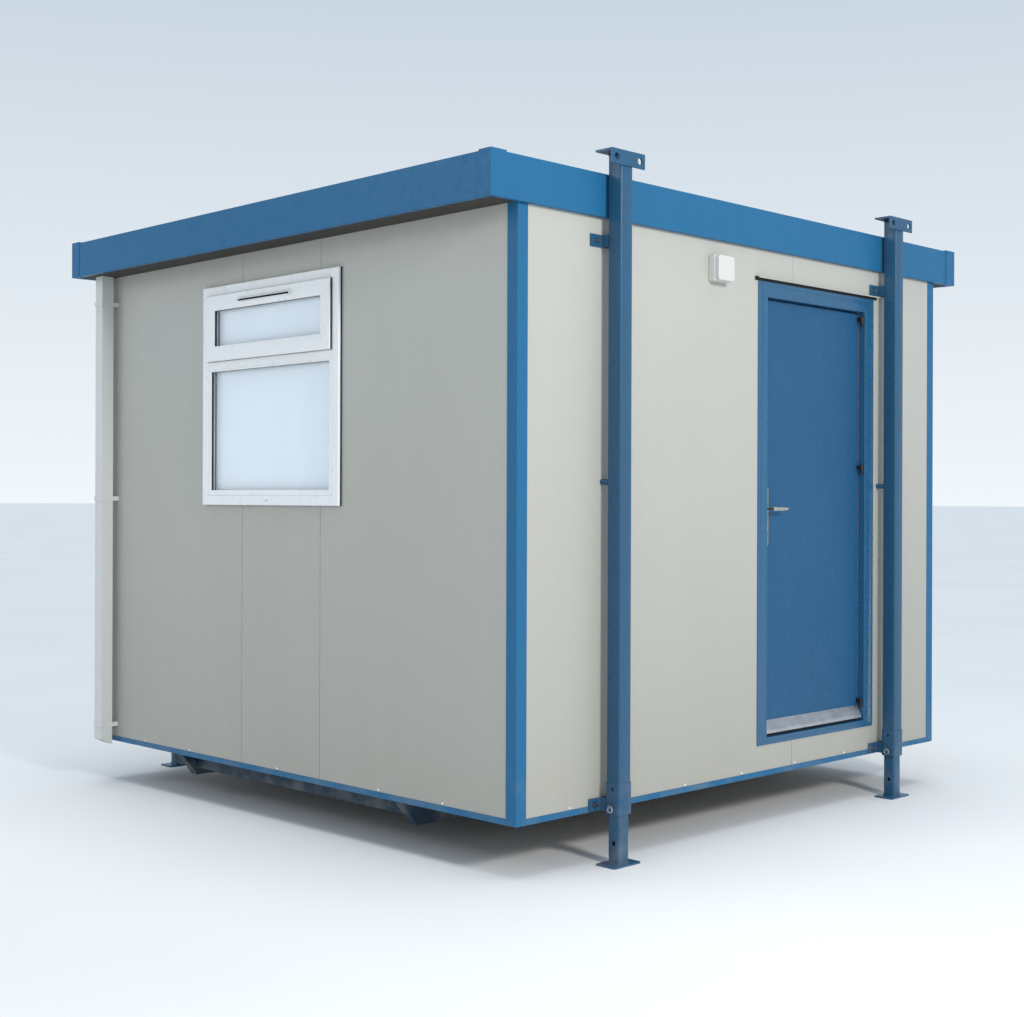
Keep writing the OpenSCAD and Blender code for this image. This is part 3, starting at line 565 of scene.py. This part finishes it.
def roof_sheeting():
    """Box-profile roof sheet falling both ways from a ridge, with its flashing and screws."""
    low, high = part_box("roof_sheet")
    eaves = levels("roof_sheet", "z")[1]
    fall = high.z - eaves
    ribs = int((high.y - low.y - RIB_FOOT) / RIB_PITCH)
    first = -ribs * RIB_PITCH / 2
    line = [(low.y, 0.0)]
    for i in range(ribs + 1):
        mid = first + i * RIB_PITCH
        line += [(mid - RIB_FOOT / 2, 0.0), (mid - RIB_TOP / 2, RIB_H), (mid + RIB_TOP / 2, RIB_H),
                 (mid + RIB_FOOT / 2, 0.0)]
    line.append((high.y, 0.0))
    shape = Shape()
    rings = []
    for x in (low.x, 0.0, high.x):
        lift = fall * (1 - abs(x) / high.x)
        rings.append([(x, y, eaves + lift + z) for y, z in line]
                     + [(x, high.y, low.z), (x, low.y, low.z)])
    shape.loft(rings)
    piece("roof_sheeting", shape, ROOF_GREY, bevel=1.5 * MM,
          stands_for=("roof_sheet",))
    crown = high.z + RIB_H + SHEET_T
    drop = fall * RIDGE_HALF / high.x
    flap = RIB_H / 2
    section = [(-RIDGE_HALF, crown - drop - flap), (-RIDGE_HALF, crown - drop), (0.0, crown),
               (RIDGE_HALF, crown - drop), (RIDGE_HALF, crown - drop - flap),
               (RIDGE_HALF - SHEET_T, crown - drop - flap), (RIDGE_HALF - SHEET_T, crown - drop - SHEET_T),
               (0.0, crown - SHEET_T), (-RIDGE_HALF + SHEET_T, crown - drop - SHEET_T),
               (-RIDGE_HALF + SHEET_T, crown - drop - flap)]
    cap = Shape()
    cap.prism(section, low.y, high.y, lambda u, v, h: Vector((u, h, v)))
    piece("ridge_flashing", cap, ROOF_GREY)
    screws = Shape()
    for i in range(ribs + 1):
        y = first + i * RIB_PITCH
        for x in ROOF_SCREWS_X:
            z = eaves + fall * (1 - abs(x) / high.x) + RIB_H + (SHEET_T if abs(x) < RIDGE_HALF else 0.0)
            screws.lathe(WASHER, around(UPRIGHT, x, y, z), 10)
    piece("roof_screws", screws, ZINC)


def gutter_straps():
    """Flat straps that hold each gutter between the roof and its fascia."""
    low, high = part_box("roof_gutters")
    strap_t, strap_w = 3 * MM, 25 * MM
    straps = 6
    outer = levels("roof_gutters", "x")[-1]
    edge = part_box("roof_panel")[1].x
    shape = Shape()
    for side in (-1, 1):
        for i in range(straps):
            y = low.y + (high.y - low.y) * (i + 0.5) / straps
            x0, x1 = sorted((side * edge, side * outer))
            shape.block((x0, y - strap_w / 2, high.z), (x1, y + strap_w / 2, high.z + strap_t))
    piece("gutter_straps", shape, ZINC, bevel=0.6 * MM)


# ---------------------------------------- door
def door_frame():
    """One mitred steel frame with an outer flange, an inner bead and the stop behind the leaf."""
    outer_low, outer_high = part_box("door_jambs")
    xs = levels("door_threshold", "x")
    heads = levels("door_head", "z")
    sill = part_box("door_threshold")[1].z
    outer = (outer_low.x, outer_low.z, outer_high.x, outer_high.z)
    reveal = (xs[0], sill, xs[3], heads[1])
    stop = (xs[1], sill, xs[2], heads[0])
    front = -outer_low.y - FACE_Y
    back = -outer_high.y - FACE_Y
    stop_h = -levels("door_jambs", "y")[1] - FACE_Y
    bead = 9 * MM
    lip = 1.2 * MM
    groove, groove_half = 15.5 * MM, 1.5 * MM
    section = [(outer, back), (outer, front - lip), (inset(outer, lip), front),
               (inset(outer, groove - groove_half), front), (inset(outer, groove), front - lip),
               (inset(outer, groove + groove_half), front), (inset(reveal, -bead - lip), front),
               (inset(reveal, -bead), front + lip), (inset(reveal, -lip), front + lip),
               (reveal, front), (reveal, stop_h), (stop, stop_h), (stop, back)]
    shape = Shape()
    shape.rim(section, ON_FRONT)
    piece("door_frame", shape, FRAME_BLUE, bevel=0.8 * MM,
          stands_for=("door_jambs", "door_head", "door_threshold"))
    return reveal, stop, stop_h


def door_seals(reveal, stop, stop_h):
    """Brown seal up the hinge side of the frame and a black gasket on the stop."""
    leaf_low, leaf_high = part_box("door_leaf")
    running_gap, setback, strip_d = 0.8 * MM, 1 * MM, 15 * MM
    strip = Shape()
    strip.block((leaf_high.x + running_gap, leaf_low.y + setback, reveal[1]),
                (reveal[2], leaf_low.y + setback + strip_d, reveal[3]))
    piece("door_edge_seal", strip, BROWN_SEAL)
    gasket = Shape()
    gasket_w, taper = 8 * MM, 2 * MM
    edge = inset(stop, -setback)
    grip = inset(stop, -setback - gasket_w)
    face = -leaf_high.y - FACE_Y - setback
    gasket.rim([(edge, stop_h), (grip, stop_h), (inset(grip, taper), face), (inset(edge, -taper), face)],
               ON_FRONT)
    piece("door_stop_gasket", gasket, BLACK)


def door_drip_bar():
    """Folded drip flashing over the door frame, with a black strip under its nose as painted shadow."""
    low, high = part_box("door_drip_bar")
    out, rise = high.y - low.y, high.z - low.z
    skin, nose, shadow_strip_w, fall = 1.5 * MM, 10 * MM, 6 * MM, 4 * MM
    section = [(0.0, rise), (shadow_strip_w, rise), (out, rise - fall), (out, rise - nose),
               (out - skin, rise - nose), (out - skin, rise - fall - skin), (shadow_strip_w, rise - skin),
               (0.0, rise - skin)]
    across = lambda u, v, h: Vector((h, high.y - u, low.z + v))
    shape = Shape()
    shape.prism(section, low.x, high.x, across)
    piece("drip_flashing", shape, PALE_TRIM, stands_for=("door_drip_bar",))
    # Painted shadow: a black strip fills the recess under the nose where the flashing's shadow falls.
    strip = Shape()
    strip.prism([(0.0, 0.0), (shadow_strip_w, 0.0), (shadow_strip_w, rise - skin), (0.0, rise - skin)],
                low.x + skin, high.x - skin, across)
    piece("drip_shadow_strip", strip, BLACK)


def door_weather_bar():
    """Ribbed weather bar on the foot of the leaf, with end plates and a brush below."""
    low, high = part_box("door_weather_bar")
    out, rise = high.y - low.y, high.z - low.z
    nose, top = 12 * MM, 3 * MM
    ribs, rib = 5, 1.6 * MM
    rib_profile = ((0.0, 0.0), (0.55, 0.0), (0.62, -rib), (0.92, -rib))
    start, end = Vector((out, nose)), Vector((top, rise))
    normal = Vector((end.y - start.y, start.x - end.x)).normalized()
    slope = []
    for i in range(ribs):
        for share, lift in rib_profile:
            slope.append(tuple(start.lerp(end, (i + share) / ribs) + normal * lift))
    section = [(0.0, 0.0), (out, 0.0)] + slope + [tuple(end), (0.0, rise)]
    shape = Shape()
    cap = 2 * MM
    along = lambda u, v, h: Vector((h, high.y - u, low.z + v))
    shape.prism(section, low.x + cap, high.x - cap, along)
    plain = [(0.0, 0.0), (out, 0.0), (out, nose), (top, rise), (0.0, rise)]
    for x in (low.x, high.x - cap):
        shape.prism(plain, x, x + cap, along)
    piece("weather_bar", shape, ALUMINIUM, "door", stands_for=("door_weather_bar",))
    brush = Shape()
    near, far, clear = 4 * MM, 9 * MM, 1.5 * MM
    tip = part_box("door_threshold")[1].z - low.z + clear
    brush.prism([(near, tip), (far, tip), (far, 0.0), (near, 0.0)], low.x + near, high.x - near, along)
    piece("weather_bar_brush", brush, BLACK, "door")


# Stations of the lever, from its round heel to its tip: distance out, height and thickness in mm.
LEVER = ((-11, 5, 5), (-10, 13, 9), (-7, 18, 11), (6, 19, 11), (30, 18, 10.5), (70, 16.5, 10),
         (97, 15, 9.5), (103, 12, 8), (105, 5, 4))
LEVER_SETBACK = 6 * MM
SPINDLE_R = 6.6 * MM
HEAD = ((3.6 * MM, -0.3 * MM), (3.6 * MM, 0.5 * MM), (2.4 * MM, 1.1 * MM))
HEAD_INSET = 16 * MM
KEYHOLE_DROP = 8.5 * MM


def handle_axis():
    """Where the spindle crosses the door, as x and height."""
    joint = next(j for j in frame["joints"] if j["name"] == "handle_turn")
    x, _, z = joint["pos_m"]
    return x, z


def door_levers():
    """Lever handles: a neck out of each plate and a flat bar that tapers to a round end."""
    low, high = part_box("door_levers")
    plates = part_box("handle_plates")
    x, z = handle_axis()
    shape = Shape()
    for face, tip, side in ((plates[0].y, low.y, -1), (plates[1].y, high.y, 1)):
        reach = abs(tip - face)
        place = lambda u, v, h: Vector((x + u, face + side * h, z + v))
        rose = [(13 * MM, 0.2 * MM), (13 * MM, 5 * MM), (11 * MM, 7 * MM), (7.5 * MM, 8 * MM),
                (7.0 * MM, 12 * MM), (7.0 * MM, reach - 11 * MM), (8.2 * MM, reach - 7 * MM)]
        shape.lathe(rose, place, 28)
        centre = reach - LEVER_SETBACK
        rings = []
        for u, tall, thick in LEVER:
            outline = rounded(thick * MM, tall * MM, min(thick, tall) * 0.42 * MM)
            rings.append([place(u * MM, b, centre + a) for a, b in outline])
        shape.loft(rings)
    through = lambda u, v, h: Vector((x + u, h, z + v))
    shape.lathe([(SPINDLE_R, plates[0].y), (SPINDLE_R, plates[1].y)], through, 20)
    piece("lever_handles", shape, SATIN, "lever", stands_for=("door_levers",))


def handle_fixings():
    """Screws of the handle plates with their slots, and the keyholes."""
    plates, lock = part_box("handle_plates"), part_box("lock_cylinders")
    x, _ = handle_axis()
    screws, slots = Shape(), Shape()
    for face, edge, side in ((plates[0].y, lock[0].y, -1), (plates[1].y, lock[1].y, 1)):
        for v in (plates[0].z + HEAD_INSET, plates[1].z - HEAD_INSET):
            place = lambda a, b, h: Vector((x + a, face + side * h, v + b))
            screws.lathe(HEAD, place, 14)
            slots.prism(rounded(4.2 * MM, 0.9 * MM, 0.3 * MM, 1), 0.9 * MM, 1.2 * MM, place)
        key = lambda a, b, h: Vector((x + a, edge + side * h, lock[1].z - KEYHOLE_DROP + b))
        slots.prism(rounded(1.8 * MM, 9 * MM, 0.6 * MM, 1), -0.3 * MM, 0.15 * MM, key)
    piece("handle_screws", screws, ZINC, "door")
    piece("handle_slots", slots, BLACK, "door")


def lock_face_plate():
    """Face plate of the lock in the edge of the leaf, with its latch."""
    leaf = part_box("door_leaf")
    _, z = handle_axis()
    middle = (leaf[0].y + leaf[1].y) / 2
    plate_half, below, above, proud, sunk = 11 * MM, 125 * MM, 85 * MM, 0.8 * MM, 1 * MM
    latch_out, latch_half, latch_tall = 5 * MM, 5 * MM, 8 * MM
    shape = Shape()
    shape.block((leaf[0].x - proud, middle - plate_half, z - below),
                (leaf[0].x + sunk, middle + plate_half, z + above))
    shape.block((leaf[0].x - latch_out, middle - latch_half, z - latch_tall),
                (leaf[0].x, middle + latch_half, z + latch_tall))
    piece("lock_face_plate", shape, SATIN, "door", bevel=0.6 * MM)


# ---------------------------------------- window
REBATE = 12 * MM
LIP = 8 * MM


def glazing(opening, front, shapes):
    """Sealed unit in a rebate round one opening: clear sheet, spacer, edge seal, inner pane painted with
    the sky reflection, gaskets.
    """
    sheet, cavity, bar = 4 * MM, 16 * MM, 8 * MM
    clear, painted_light, bars, gaskets = shapes
    edge, sight = inset(opening, 1 * MM - REBATE), inset(opening, -2 * MM)
    corners = [(edge[0], edge[1]), (edge[2], edge[1]), (edge[2], edge[3]), (edge[0], edge[3])]
    back = front - 2 * sheet - cavity
    clear.prism(corners, front - sheet, front, ON_LEFT)
    painted_light.prism(corners, back, front - sheet - cavity, ON_LEFT)
    middle = front - sheet - bar
    bars.rim([(edge, front - sheet), (sight, front - sheet), (sight, middle), (edge, middle)], ON_LEFT)
    gaskets.rim([(edge, middle), (sight, middle), (sight, back + sheet), (edge, back + sheet)], ON_LEFT)
    gaskets.rim([(edge, front), (edge, front + LIP), (opening, front + LIP), (opening, front)], ON_LEFT)
    gaskets.rim([(edge, back), (edge, back - LIP / 2), (opening, back - LIP / 2), (opening, back)], ON_LEFT)


def window():
    """uPVC window: welded frame with a fixed pane, an opening fanlight above and a trickle vent."""
    low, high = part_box("window_frame")
    ys, zs = levels("window_frame", "y"), levels("window_frame", "z")
    sash_ys, sash_zs = levels("fanlight_sash", "y"), levels("fanlight_sash", "z")
    out = -low.x - FACE_X
    back = -high.x - FACE_X
    sash_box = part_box("fanlight_sash")
    sash_out = -sash_box[0].x - FACE_X
    sash_pane_x, fixed_pane_x = levels("window_panes", "x")[:2]
    pane_front, sash_front = -fixed_pane_x - FACE_X, -sash_pane_x - FACE_X
    outer = (ys[0], zs[0], ys[5], zs[5])
    fixed = (ys[2], zs[1], ys[3], zs[2])
    light = (ys[1], zs[3], ys[4], zs[4])
    sash = (sash_ys[0], sash_zs[0], sash_ys[3], sash_zs[3])
    sash_in = (sash_ys[1], sash_zs[1], sash_ys[2], sash_zs[2])
    bead = 16 * MM
    edge = 3 * MM
    frame_shape = Shape()
    ring = (ys[1], zs[1] - 25 * MM, ys[4], zs[4])
    neck = inset(outer, 7 * MM)
    flange = out - 11 * MM
    frame_shape.rim([(neck, back), (neck, flange), (outer, flange), (outer, out - edge),
                     (inset(outer, edge), out), (inset(ring, -edge), out), (ring, out - edge),
                     (ring, back)], ON_LEFT)
    transom_foot = fixed[3] + 9 * MM
    transom = [(ring[0], transom_foot), (ring[2], transom_foot), (ring[2], light[1]), (ring[0], light[1])]
    frame_shape.prism(transom, back, out, ON_LEFT)
    slope = (ring[0], ring[1], ring[2], transom_foot)
    frame_shape.rim([(slope, back), (slope, out - 1.5 * MM), (inset(slope, 3 * MM), out - 1 * MM),
                     (fixed, pane_front + LIP + 1.5 * MM), (fixed, pane_front + LIP),
                     (inset(fixed, -REBATE), pane_front + LIP), (inset(fixed, -REBATE), back)], ON_LEFT)
    piece("window_outer_frame", frame_shape, UPVC, bevel=0.8 * MM,
          stands_for=("window_frame",))
    sash_shape = Shape()
    sash_back = -sash_box[1].x - FACE_X
    overlap = sash_out - 6 * MM
    neck = inset(sash, 5 * MM)
    seat = inset(sash_in, -REBATE)
    sash_shape.rim([(neck, sash_back), (neck, overlap), (sash, overlap), (sash, sash_out - 2 * MM),
                    (inset(sash, 2 * MM), sash_out), (inset(sash_in, -bead - 8 * MM), sash_out),
                    (inset(sash_in, -bead), sash_out - 1.5 * MM), (sash_in, sash_front + LIP + 1.5 * MM),
                    (sash_in, sash_front + LIP), (seat, sash_front + LIP), (seat, sash_back)], ON_LEFT)
    piece("window_fanlight", sash_shape, UPVC, bevel=0.8 * MM,
          stands_for=("fanlight_sash",))
    shapes = [Shape() for _ in range(4)]
    glazing(fixed, pane_front, shapes)
    glazing(sash_in, sash_front, shapes)
    weather = inset(sash, 2.5 * MM)
    shapes[3].rim([(weather, out - 0.5 * MM), (weather, overlap + 0.2 * MM), (neck, overlap + 0.2 * MM),
                   (neck, out - 0.5 * MM)], ON_LEFT)
    piece("window_glass", shapes[0], CLEAR)
    # The inner panes carry a painted reflection of the sky in their colour.
    piece("window_reflection_panes", shapes[1], REFLECTION_PANE, stands_for=("window_panes",))
    piece("window_spacers", shapes[2], ALUMINIUM)
    piece("window_gaskets", shapes[3], BLACK)
    # Painted shadow: a black strip under the flange's edge stands in for the shadow line beside and below
    # the frame.
    flange_shadow_strip = Shape()
    shadow_out, shadow_in = inset(outer, 3 * MM), inset(outer, 7.5 * MM)
    sunk, seated = -0.5 * MM, flange + 0.2 * MM
    flange_shadow_strip.rim([(shadow_out, sunk), (shadow_out, seated), (shadow_in, seated), (shadow_in, sunk)], ON_LEFT)
    piece("window_flange_shadow_strip", flange_shadow_strip, BLACK)
    trickle_vent()
    drain = Shape()
    mid = (outer[0] + outer[2]) / 2
    place = around(ON_LEFT, mid, outer[1] + 24 * MM)
    drain.prism(rounded(26 * MM, 7 * MM, 3.2 * MM), out - 1 * MM, out + 2 * MM, place)
    piece("window_drain_cap", drain, UPVC, bevel=0.8 * MM)
    slit = Shape()
    place = around(ON_LEFT, mid, outer[1] + 22 * MM)
    slit.prism(rounded(16 * MM, 2 * MM, 0.8 * MM, 2), out + 1.9 * MM, out + 2.2 * MM, place)
    piece("window_drain_slot", slit, BLACK)


def trickle_vent():
    """Hooded trickle vent on the top rail of the fanlight, with its dark slot."""
    low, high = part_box("trickle_vent")
    out, tall = high.x - low.x, high.z - low.z
    cap, lip, hood, throat, setback = 4 * MM, 1.2 * MM, 0.52 * tall, 3 * MM, 3 * MM
    start, end = low.y + cap, high.y - cap
    steps = 6
    turns = [pi / 2 * i / steps for i in range(steps + 1)]
    crown = [(out * sin(a), hood + (tall - hood) * cos(a)) for a in turns]
    along = lambda u, v, h: Vector((high.x - u, h, low.z + v))
    shape = Shape()
    shape.prism([(0.0, hood)] + crown[::-1], start, end, along)
    shape.prism([(0.0, 0.0), (out, 0.0), (out, lip), (0.0, lip)], start, end, along)
    for y in (low.y, end):
        shape.prism([(0.0, 0.0), (out, 0.0)] + crown[::-1], y, y + cap, along)
    piece("vent_hood", shape, UPVC, stands_for=("trickle_vent",))
    grille = Shape()
    grille.prism([(0.0, lip), (throat, lip), (throat, hood), (0.0, hood)], start, end, along)
    bars, bar_half = 24, 0.6 * MM
    front = out - setback
    for i in range(1, bars):
        y = start + (end - start) * i / bars
        grille.prism([(0.0, lip), (front, lip), (front, hood), (0.0, hood)], y - bar_half, y + bar_half,
                     along)
    piece("vent_grille", grille, BLACK)


# ---------------------------------------- fittings on the walls
def junction_box_details():
    """Dark joint line between base and lid, and the four lid screws."""
    low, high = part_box("junction_box_lid")
    mid_x, mid_z = (low.x + high.x) / 2, (low.z + high.z) / 2
    joint, face = -high.y - FACE_Y, -low.y - FACE_Y
    shrink, corner, sunk, proud = 6 * MM, 14 * MM, 2.5 * MM, 1.2 * MM
    outline = rounded(high.x - low.x - shrink, high.z - low.z - shrink, corner)
    seam = Shape()
    seam.prism(outline, joint - sunk, joint + proud, around(ON_FRONT, mid_x, mid_z))
    piece("junction_box_gasket", seam, BLACK)
    screws = Shape()
    screw_at = 38 * MM
    head = [(4.5 * MM, face - 1 * MM), (4.5 * MM, face + 0.6 * MM), (3.4 * MM, face + 1.2 * MM)]
    for sx in (-1, 1):
        for sz in (-1, 1):
            screws.lathe(head, around(ON_FRONT, mid_x + sx * screw_at, mid_z + sz * screw_at), 14)
    piece("junction_box_screws", screws, BOX_WHITE)


def downpipe_sockets():
    """Sleeves where the lengths of pipe join, under each clip."""
    low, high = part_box("downpipes")
    clips = sorted({round(z, 4) for z in levels("pipe_clips", "z")})[::2]
    sides = levels("downpipes", "x")[:2]
    width = sides[1] - sides[0]
    mid_x, mid_y = sum(sides) / 2, (low.y + high.y) / 2
    grow, tall = 2.4 * MM, 0.055
    shape = Shape()
    for side in (-1, 1):
        for z in clips:
            place = around(UPRIGHT, -side * mid_x, mid_y)
            outer = rounded(width + 2 * grow, width + 2 * grow, 4 * MM)
            bore = rounded(width + 0.2 * MM, width + 0.2 * MM, 2.5 * MM)
            shape.tube(outer, bore, z - tall, z - 1 * MM, place)
    piece("downpipe_sockets", shape, PIPE_WHITE, bevel=0.8 * MM)


# ---------------------------------------- jack legs
LEGS = ("front_left", "front_right", "back_left", "back_right")
TUBE_RADIUS = 7 * MM
LEG_RADIUS = 6 * MM
LEG_HALF = 29.2 * MM
LEG_T = 4 * MM
LEG_BORE_RADIUS = 2.5 * MM
LEG_HOLE_R = 9 * MM
LEG_HOLES = (0.088, 0.238, 0.388)
FOOT_T = 8 * MM
FOOT_BEAD = 5 * MM


def leg_middle(name):
    """Middle of one inner leg, as x and y."""
    low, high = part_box("leg_" + name)
    return (low.x + high.x) / 2, (low.y + high.y) / 2


def bar_along_x(shape, x0, x1, y, z, radius, steps=24):
    """Round bar or drill along X."""
    shape.lathe([(radius, x0), (radius, x1)], lambda u, v, h: Vector((h, y + u, z + v)), steps)


def bead_ring(shape, half, corner, z, size, place):
    """Weld bead round a square tube."""
    rings = []
    for i in range(6):
        a = pi / 2 * i / 5
        grow = size * cos(a)
        rings.append([place(u, v, z + size * sin(a))
                      for u, v in rounded(2 * (half + grow), 2 * (half + grow), corner + grow)])
    inner = rounded(2 * half - 1 * MM, 2 * half - 1 * MM, corner)
    rings.append([place(u, v, z + size) for u, v in inner])
    rings.append([place(u, v, z) for u, v in inner])
    shape.loft(rings, closed=True)


def leg_tubes():
    """Outer tubes with rolled corners, the collars round their lower ends, and the weld beads."""
    low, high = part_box("leg_tubes")
    xs = levels("leg_tubes", "x")
    collar_top = levels("leg_tubes", "z")[-2]
    pin_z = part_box("leg_pins")[1].z - 6 * MM
    middle = leg_middle("front_left")[0]
    collar, tube, bore = (middle - x for x in xs[:3])
    tubes, holes, collars, collar_holes, beads = (Shape() for _ in range(5))
    for name in LEGS:
        x, y = leg_middle(name)
        place = around(UPRIGHT, x, y)
        outline = rounded(2 * tube, 2 * tube, TUBE_RADIUS)
        inner = rounded(2 * bore, 2 * bore, TUBE_RADIUS - 4 * MM)
        tubes.tube(outline, inner, low.z + 1 * MM, high.z, place)
        wrap = rounded(2 * collar, 2 * collar, TUBE_RADIUS + 2 * MM)
        collars.tube(wrap, outline, low.z, collar_top, place)
        for shape in (holes, collar_holes):
            bar_along_x(shape, x - 2 * collar, x + 2 * collar, y, collar_top - 24 * MM, 7 * MM)
            bar_along_x(shape, x - 2 * collar, x, y, pin_z, 6.3 * MM)
        bead_ring(beads, tube, TUBE_RADIUS, collar_top, 3.5 * MM, place)
        plate = levels("leg_caps", "z")[-2]
        bead_ring(beads, tube, TUBE_RADIUS, plate - 4 * MM, 3.5 * MM, place)
    piece("leg_outer_tubes", tubes, LEG_BLUE, holes=holes, stands_for=("leg_tubes",))
    piece("leg_collars", collars, LEG_BLUE, bevel=0.8 * MM, holes=collar_holes)
    piece("leg_weld_beads", beads, LEG_BLUE)


def inner_leg(name):
    """Telescoping leg with rolled corners, pin holes, a welded foot plate and its bead."""
    node = "leg_" + name
    low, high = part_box(node)
    x, y = leg_middle(name)
    place = around(UPRIGHT, x, y)
    width, bore = 2 * LEG_HALF, 2 * LEG_HALF - 2 * LEG_T
    shape, holes = Shape(), Shape()
    outline, inner = rounded(width, width, LEG_RADIUS), rounded(bore, bore, LEG_BORE_RADIUS)
    shape.tube(outline, inner, FOOT_T, high.z, place)
    for z in LEG_HOLES:
        bar_along_x(holes, x - width, x + width, y, z, LEG_HOLE_R)
    foot = Shape()
    foot.prism(rounded(high.x - low.x, high.y - low.y, LEG_RADIUS), low.z, FOOT_T, place)
    bead_ring(foot, LEG_HALF, LEG_RADIUS, FOOT_T, FOOT_BEAD, place)
    body = node + "_slide"
    piece(node + "_tube", shape, LEG_BLUE, body, holes=holes, stands_for=(node,))
    piece(node + "_foot", foot, LEG_BLUE, body, bevel=0.8 * MM)


def hex_bolt(shape, place, reach=0.0):
    """Washer and hexagon head standing out along h."""
    shape.lathe([(12 * MM, -0.5 * MM), (12 * MM, 2 * MM)], place, 24)
    shape.lathe([(9.5 * MM, 2 * MM), (9.5 * MM, 8 * MM), (8.2 * MM, 9.5 * MM)], place, 6)
    shape.lathe([(5 * MM, 9.5 * MM), (5 * MM, 13 * MM + reach), (4 * MM, 14 * MM + reach)], place, 16)


def leg_bolts():
    """Bolts through the cleats near the top and the brackets at the base of each leg."""
    bolts = Shape()
    cleat_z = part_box("leg_cleats")[1].z - 25 * MM
    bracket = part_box("leg_brackets")
    bracket_z = (bracket[0].z + bracket[1].z) / 2
    tube_half, tab, bolt_in, bracket_shift = 35 * MM, 65 * MM, 35 * MM, 5 * MM
    cleat_t, bracket_t, thread = 6 * MM, 8 * MM, 10 * MM
    for name in LEGS:
        x, y = leg_middle(name)
        wall = ON_FRONT if y < 0 else ON_BACK
        bolt_x = x - tube_half - tab + bolt_in
        hex_bolt(bolts, around(wall, bolt_x, cleat_z, cleat_t))
        hex_bolt(bolts, around(wall, bolt_x - bracket_shift, bracket_z, bracket_t), thread)
    piece("leg_bolts", bolts, BOLT_STEEL)


def build_object():
    """Every visual piece round the CAD frame."""
    dress_cad_nodes()
    wall_joints()
    wall_rivets()
    roof_sheeting()
    gutter_straps()
    door_seals(*door_frame())
    door_drip_bar()
    door_weather_bar()
    door_levers()
    handle_fixings()
    lock_face_plate()
    window()
    junction_box_details()
    downpipe_sockets()
    leg_tubes()
    for name in LEGS:
        inner_leg(name)
    leg_bolts()


# ---------------------------------------- stage, light and camera
def stage():
    """Plain pale floor with a fine, uneven matt finish."""
    look = Look("studio_floor", Specular_IOR_Level=0.2)
    cloud = look.noise(0.4, 3.0)
    look.rough(cloud, 0.75, 0.9)
    look.relief(look.noise(80.0, 3.0), 0.1 * MM)
    material = look.color(look.blend(look.remap(cloud, 0.35, 0.65), (0.79, 0.79, 0.79), (0.82, 0.82, 0.82)))
    shape = Shape()
    shape.block((-400.0, -400.0, -0.05), (400.0, 400.0, 0.0))
    floor = object_from("studio_floor", shape)
    floor.data.materials.append(material)


def area_light(name, location, target, size, power, color):
    """Round soft light aimed at a point."""
    data = bpy.data.lights.new(name, "AREA")
    data.shape = "DISK"
    data.size = size
    data.energy = power
    data.color = color
    light = bpy.data.objects.new(name, data)
    light.location = location
    light.rotation_mode = "QUATERNION"
    light.rotation_quaternion = (Vector(target) - Vector(location)).to_track_quat("-Z", "Y")
    bpy.context.scene.collection.objects.link(light)


def lighting():
    """Pale surroundings, a key on the door wall, soft lights past the window wall and one overhead."""
    world = bpy.data.worlds.new("pale_studio")
    world.use_nodes = True
    tree = world.node_tree
    split = tree.nodes.new("ShaderNodeSeparateXYZ")
    rise = tree.nodes.new("ShaderNodeMapRange")
    mix = tree.nodes.new("ShaderNodeMix")
    mix.data_type = "RGBA"
    tree.links.new(split.inputs["Vector"], tree.nodes.new("ShaderNodeTexCoord").outputs["Generated"])
    tree.links.new(rise.inputs["Value"], split.outputs["Z"])
    rise.inputs["From Max"].default_value = 0.45
    tree.links.new(mix.inputs["Factor"], rise.outputs["Result"])
    horizon, zenith = [i for i in mix.inputs if i.type == "RGBA"]
    horizon.default_value = (0.88, 0.93, 0.97, 1.0)
    zenith.default_value = (0.46, 0.56, 0.66, 1.0)
    result = next(o for o in mix.outputs if o.type == "RGBA")
    tree.links.new(tree.nodes["Background"].inputs["Color"], result)
    bpy.context.scene.world = world
    bpy.context.scene.view_settings.view_transform = "Standard"
    middle = (CAD_LOW + CAD_HIGH) / 2
    area_light("key", (-2.2, -8.5, 4.6), (0.2, -1.5, 1.6), 1.3, 360.0, (1.0, 0.97, 0.93))
    area_light("side", (-8.0, 4.0, 5.2), middle, 2.5, 70.0, (1.0, 0.99, 0.96))
    area_light("corner", (-7.0, -7.1, 2.6), middle, 1.2, 12.0, (0.97, 0.98, 1.0))
    data = bpy.data.lights.new("overhead", "SUN")
    data.energy = 1.1
    data.angle = radians(40)
    bpy.context.scene.collection.objects.link(bpy.data.objects.new("overhead", data))


def camera():
    """Eye-level view of the corner between the door wall and the window wall."""
    data = bpy.data.cameras.new("camera")
    data.lens = 54.0
    data.sensor_width = 36.0
    data.shift_y = -0.0085
    data.clip_end = 2000.0
    cam = bpy.data.objects.new("camera", data)
    cam.location = (-5.65, -5.66, 1.457)
    cam.rotation_mode = "QUATERNION"
    forward = Vector((0.7040, 0.7102, 0.0))
    roll = Quaternion((0.0, 0.0, 1.0), radians(0.19))
    cam.rotation_quaternion = forward.to_track_quat("-Z", "Y") @ roll
    bpy.context.scene.collection.objects.link(cam)
    bpy.context.scene.camera = cam


build_object()
stage()
lighting()
camera()
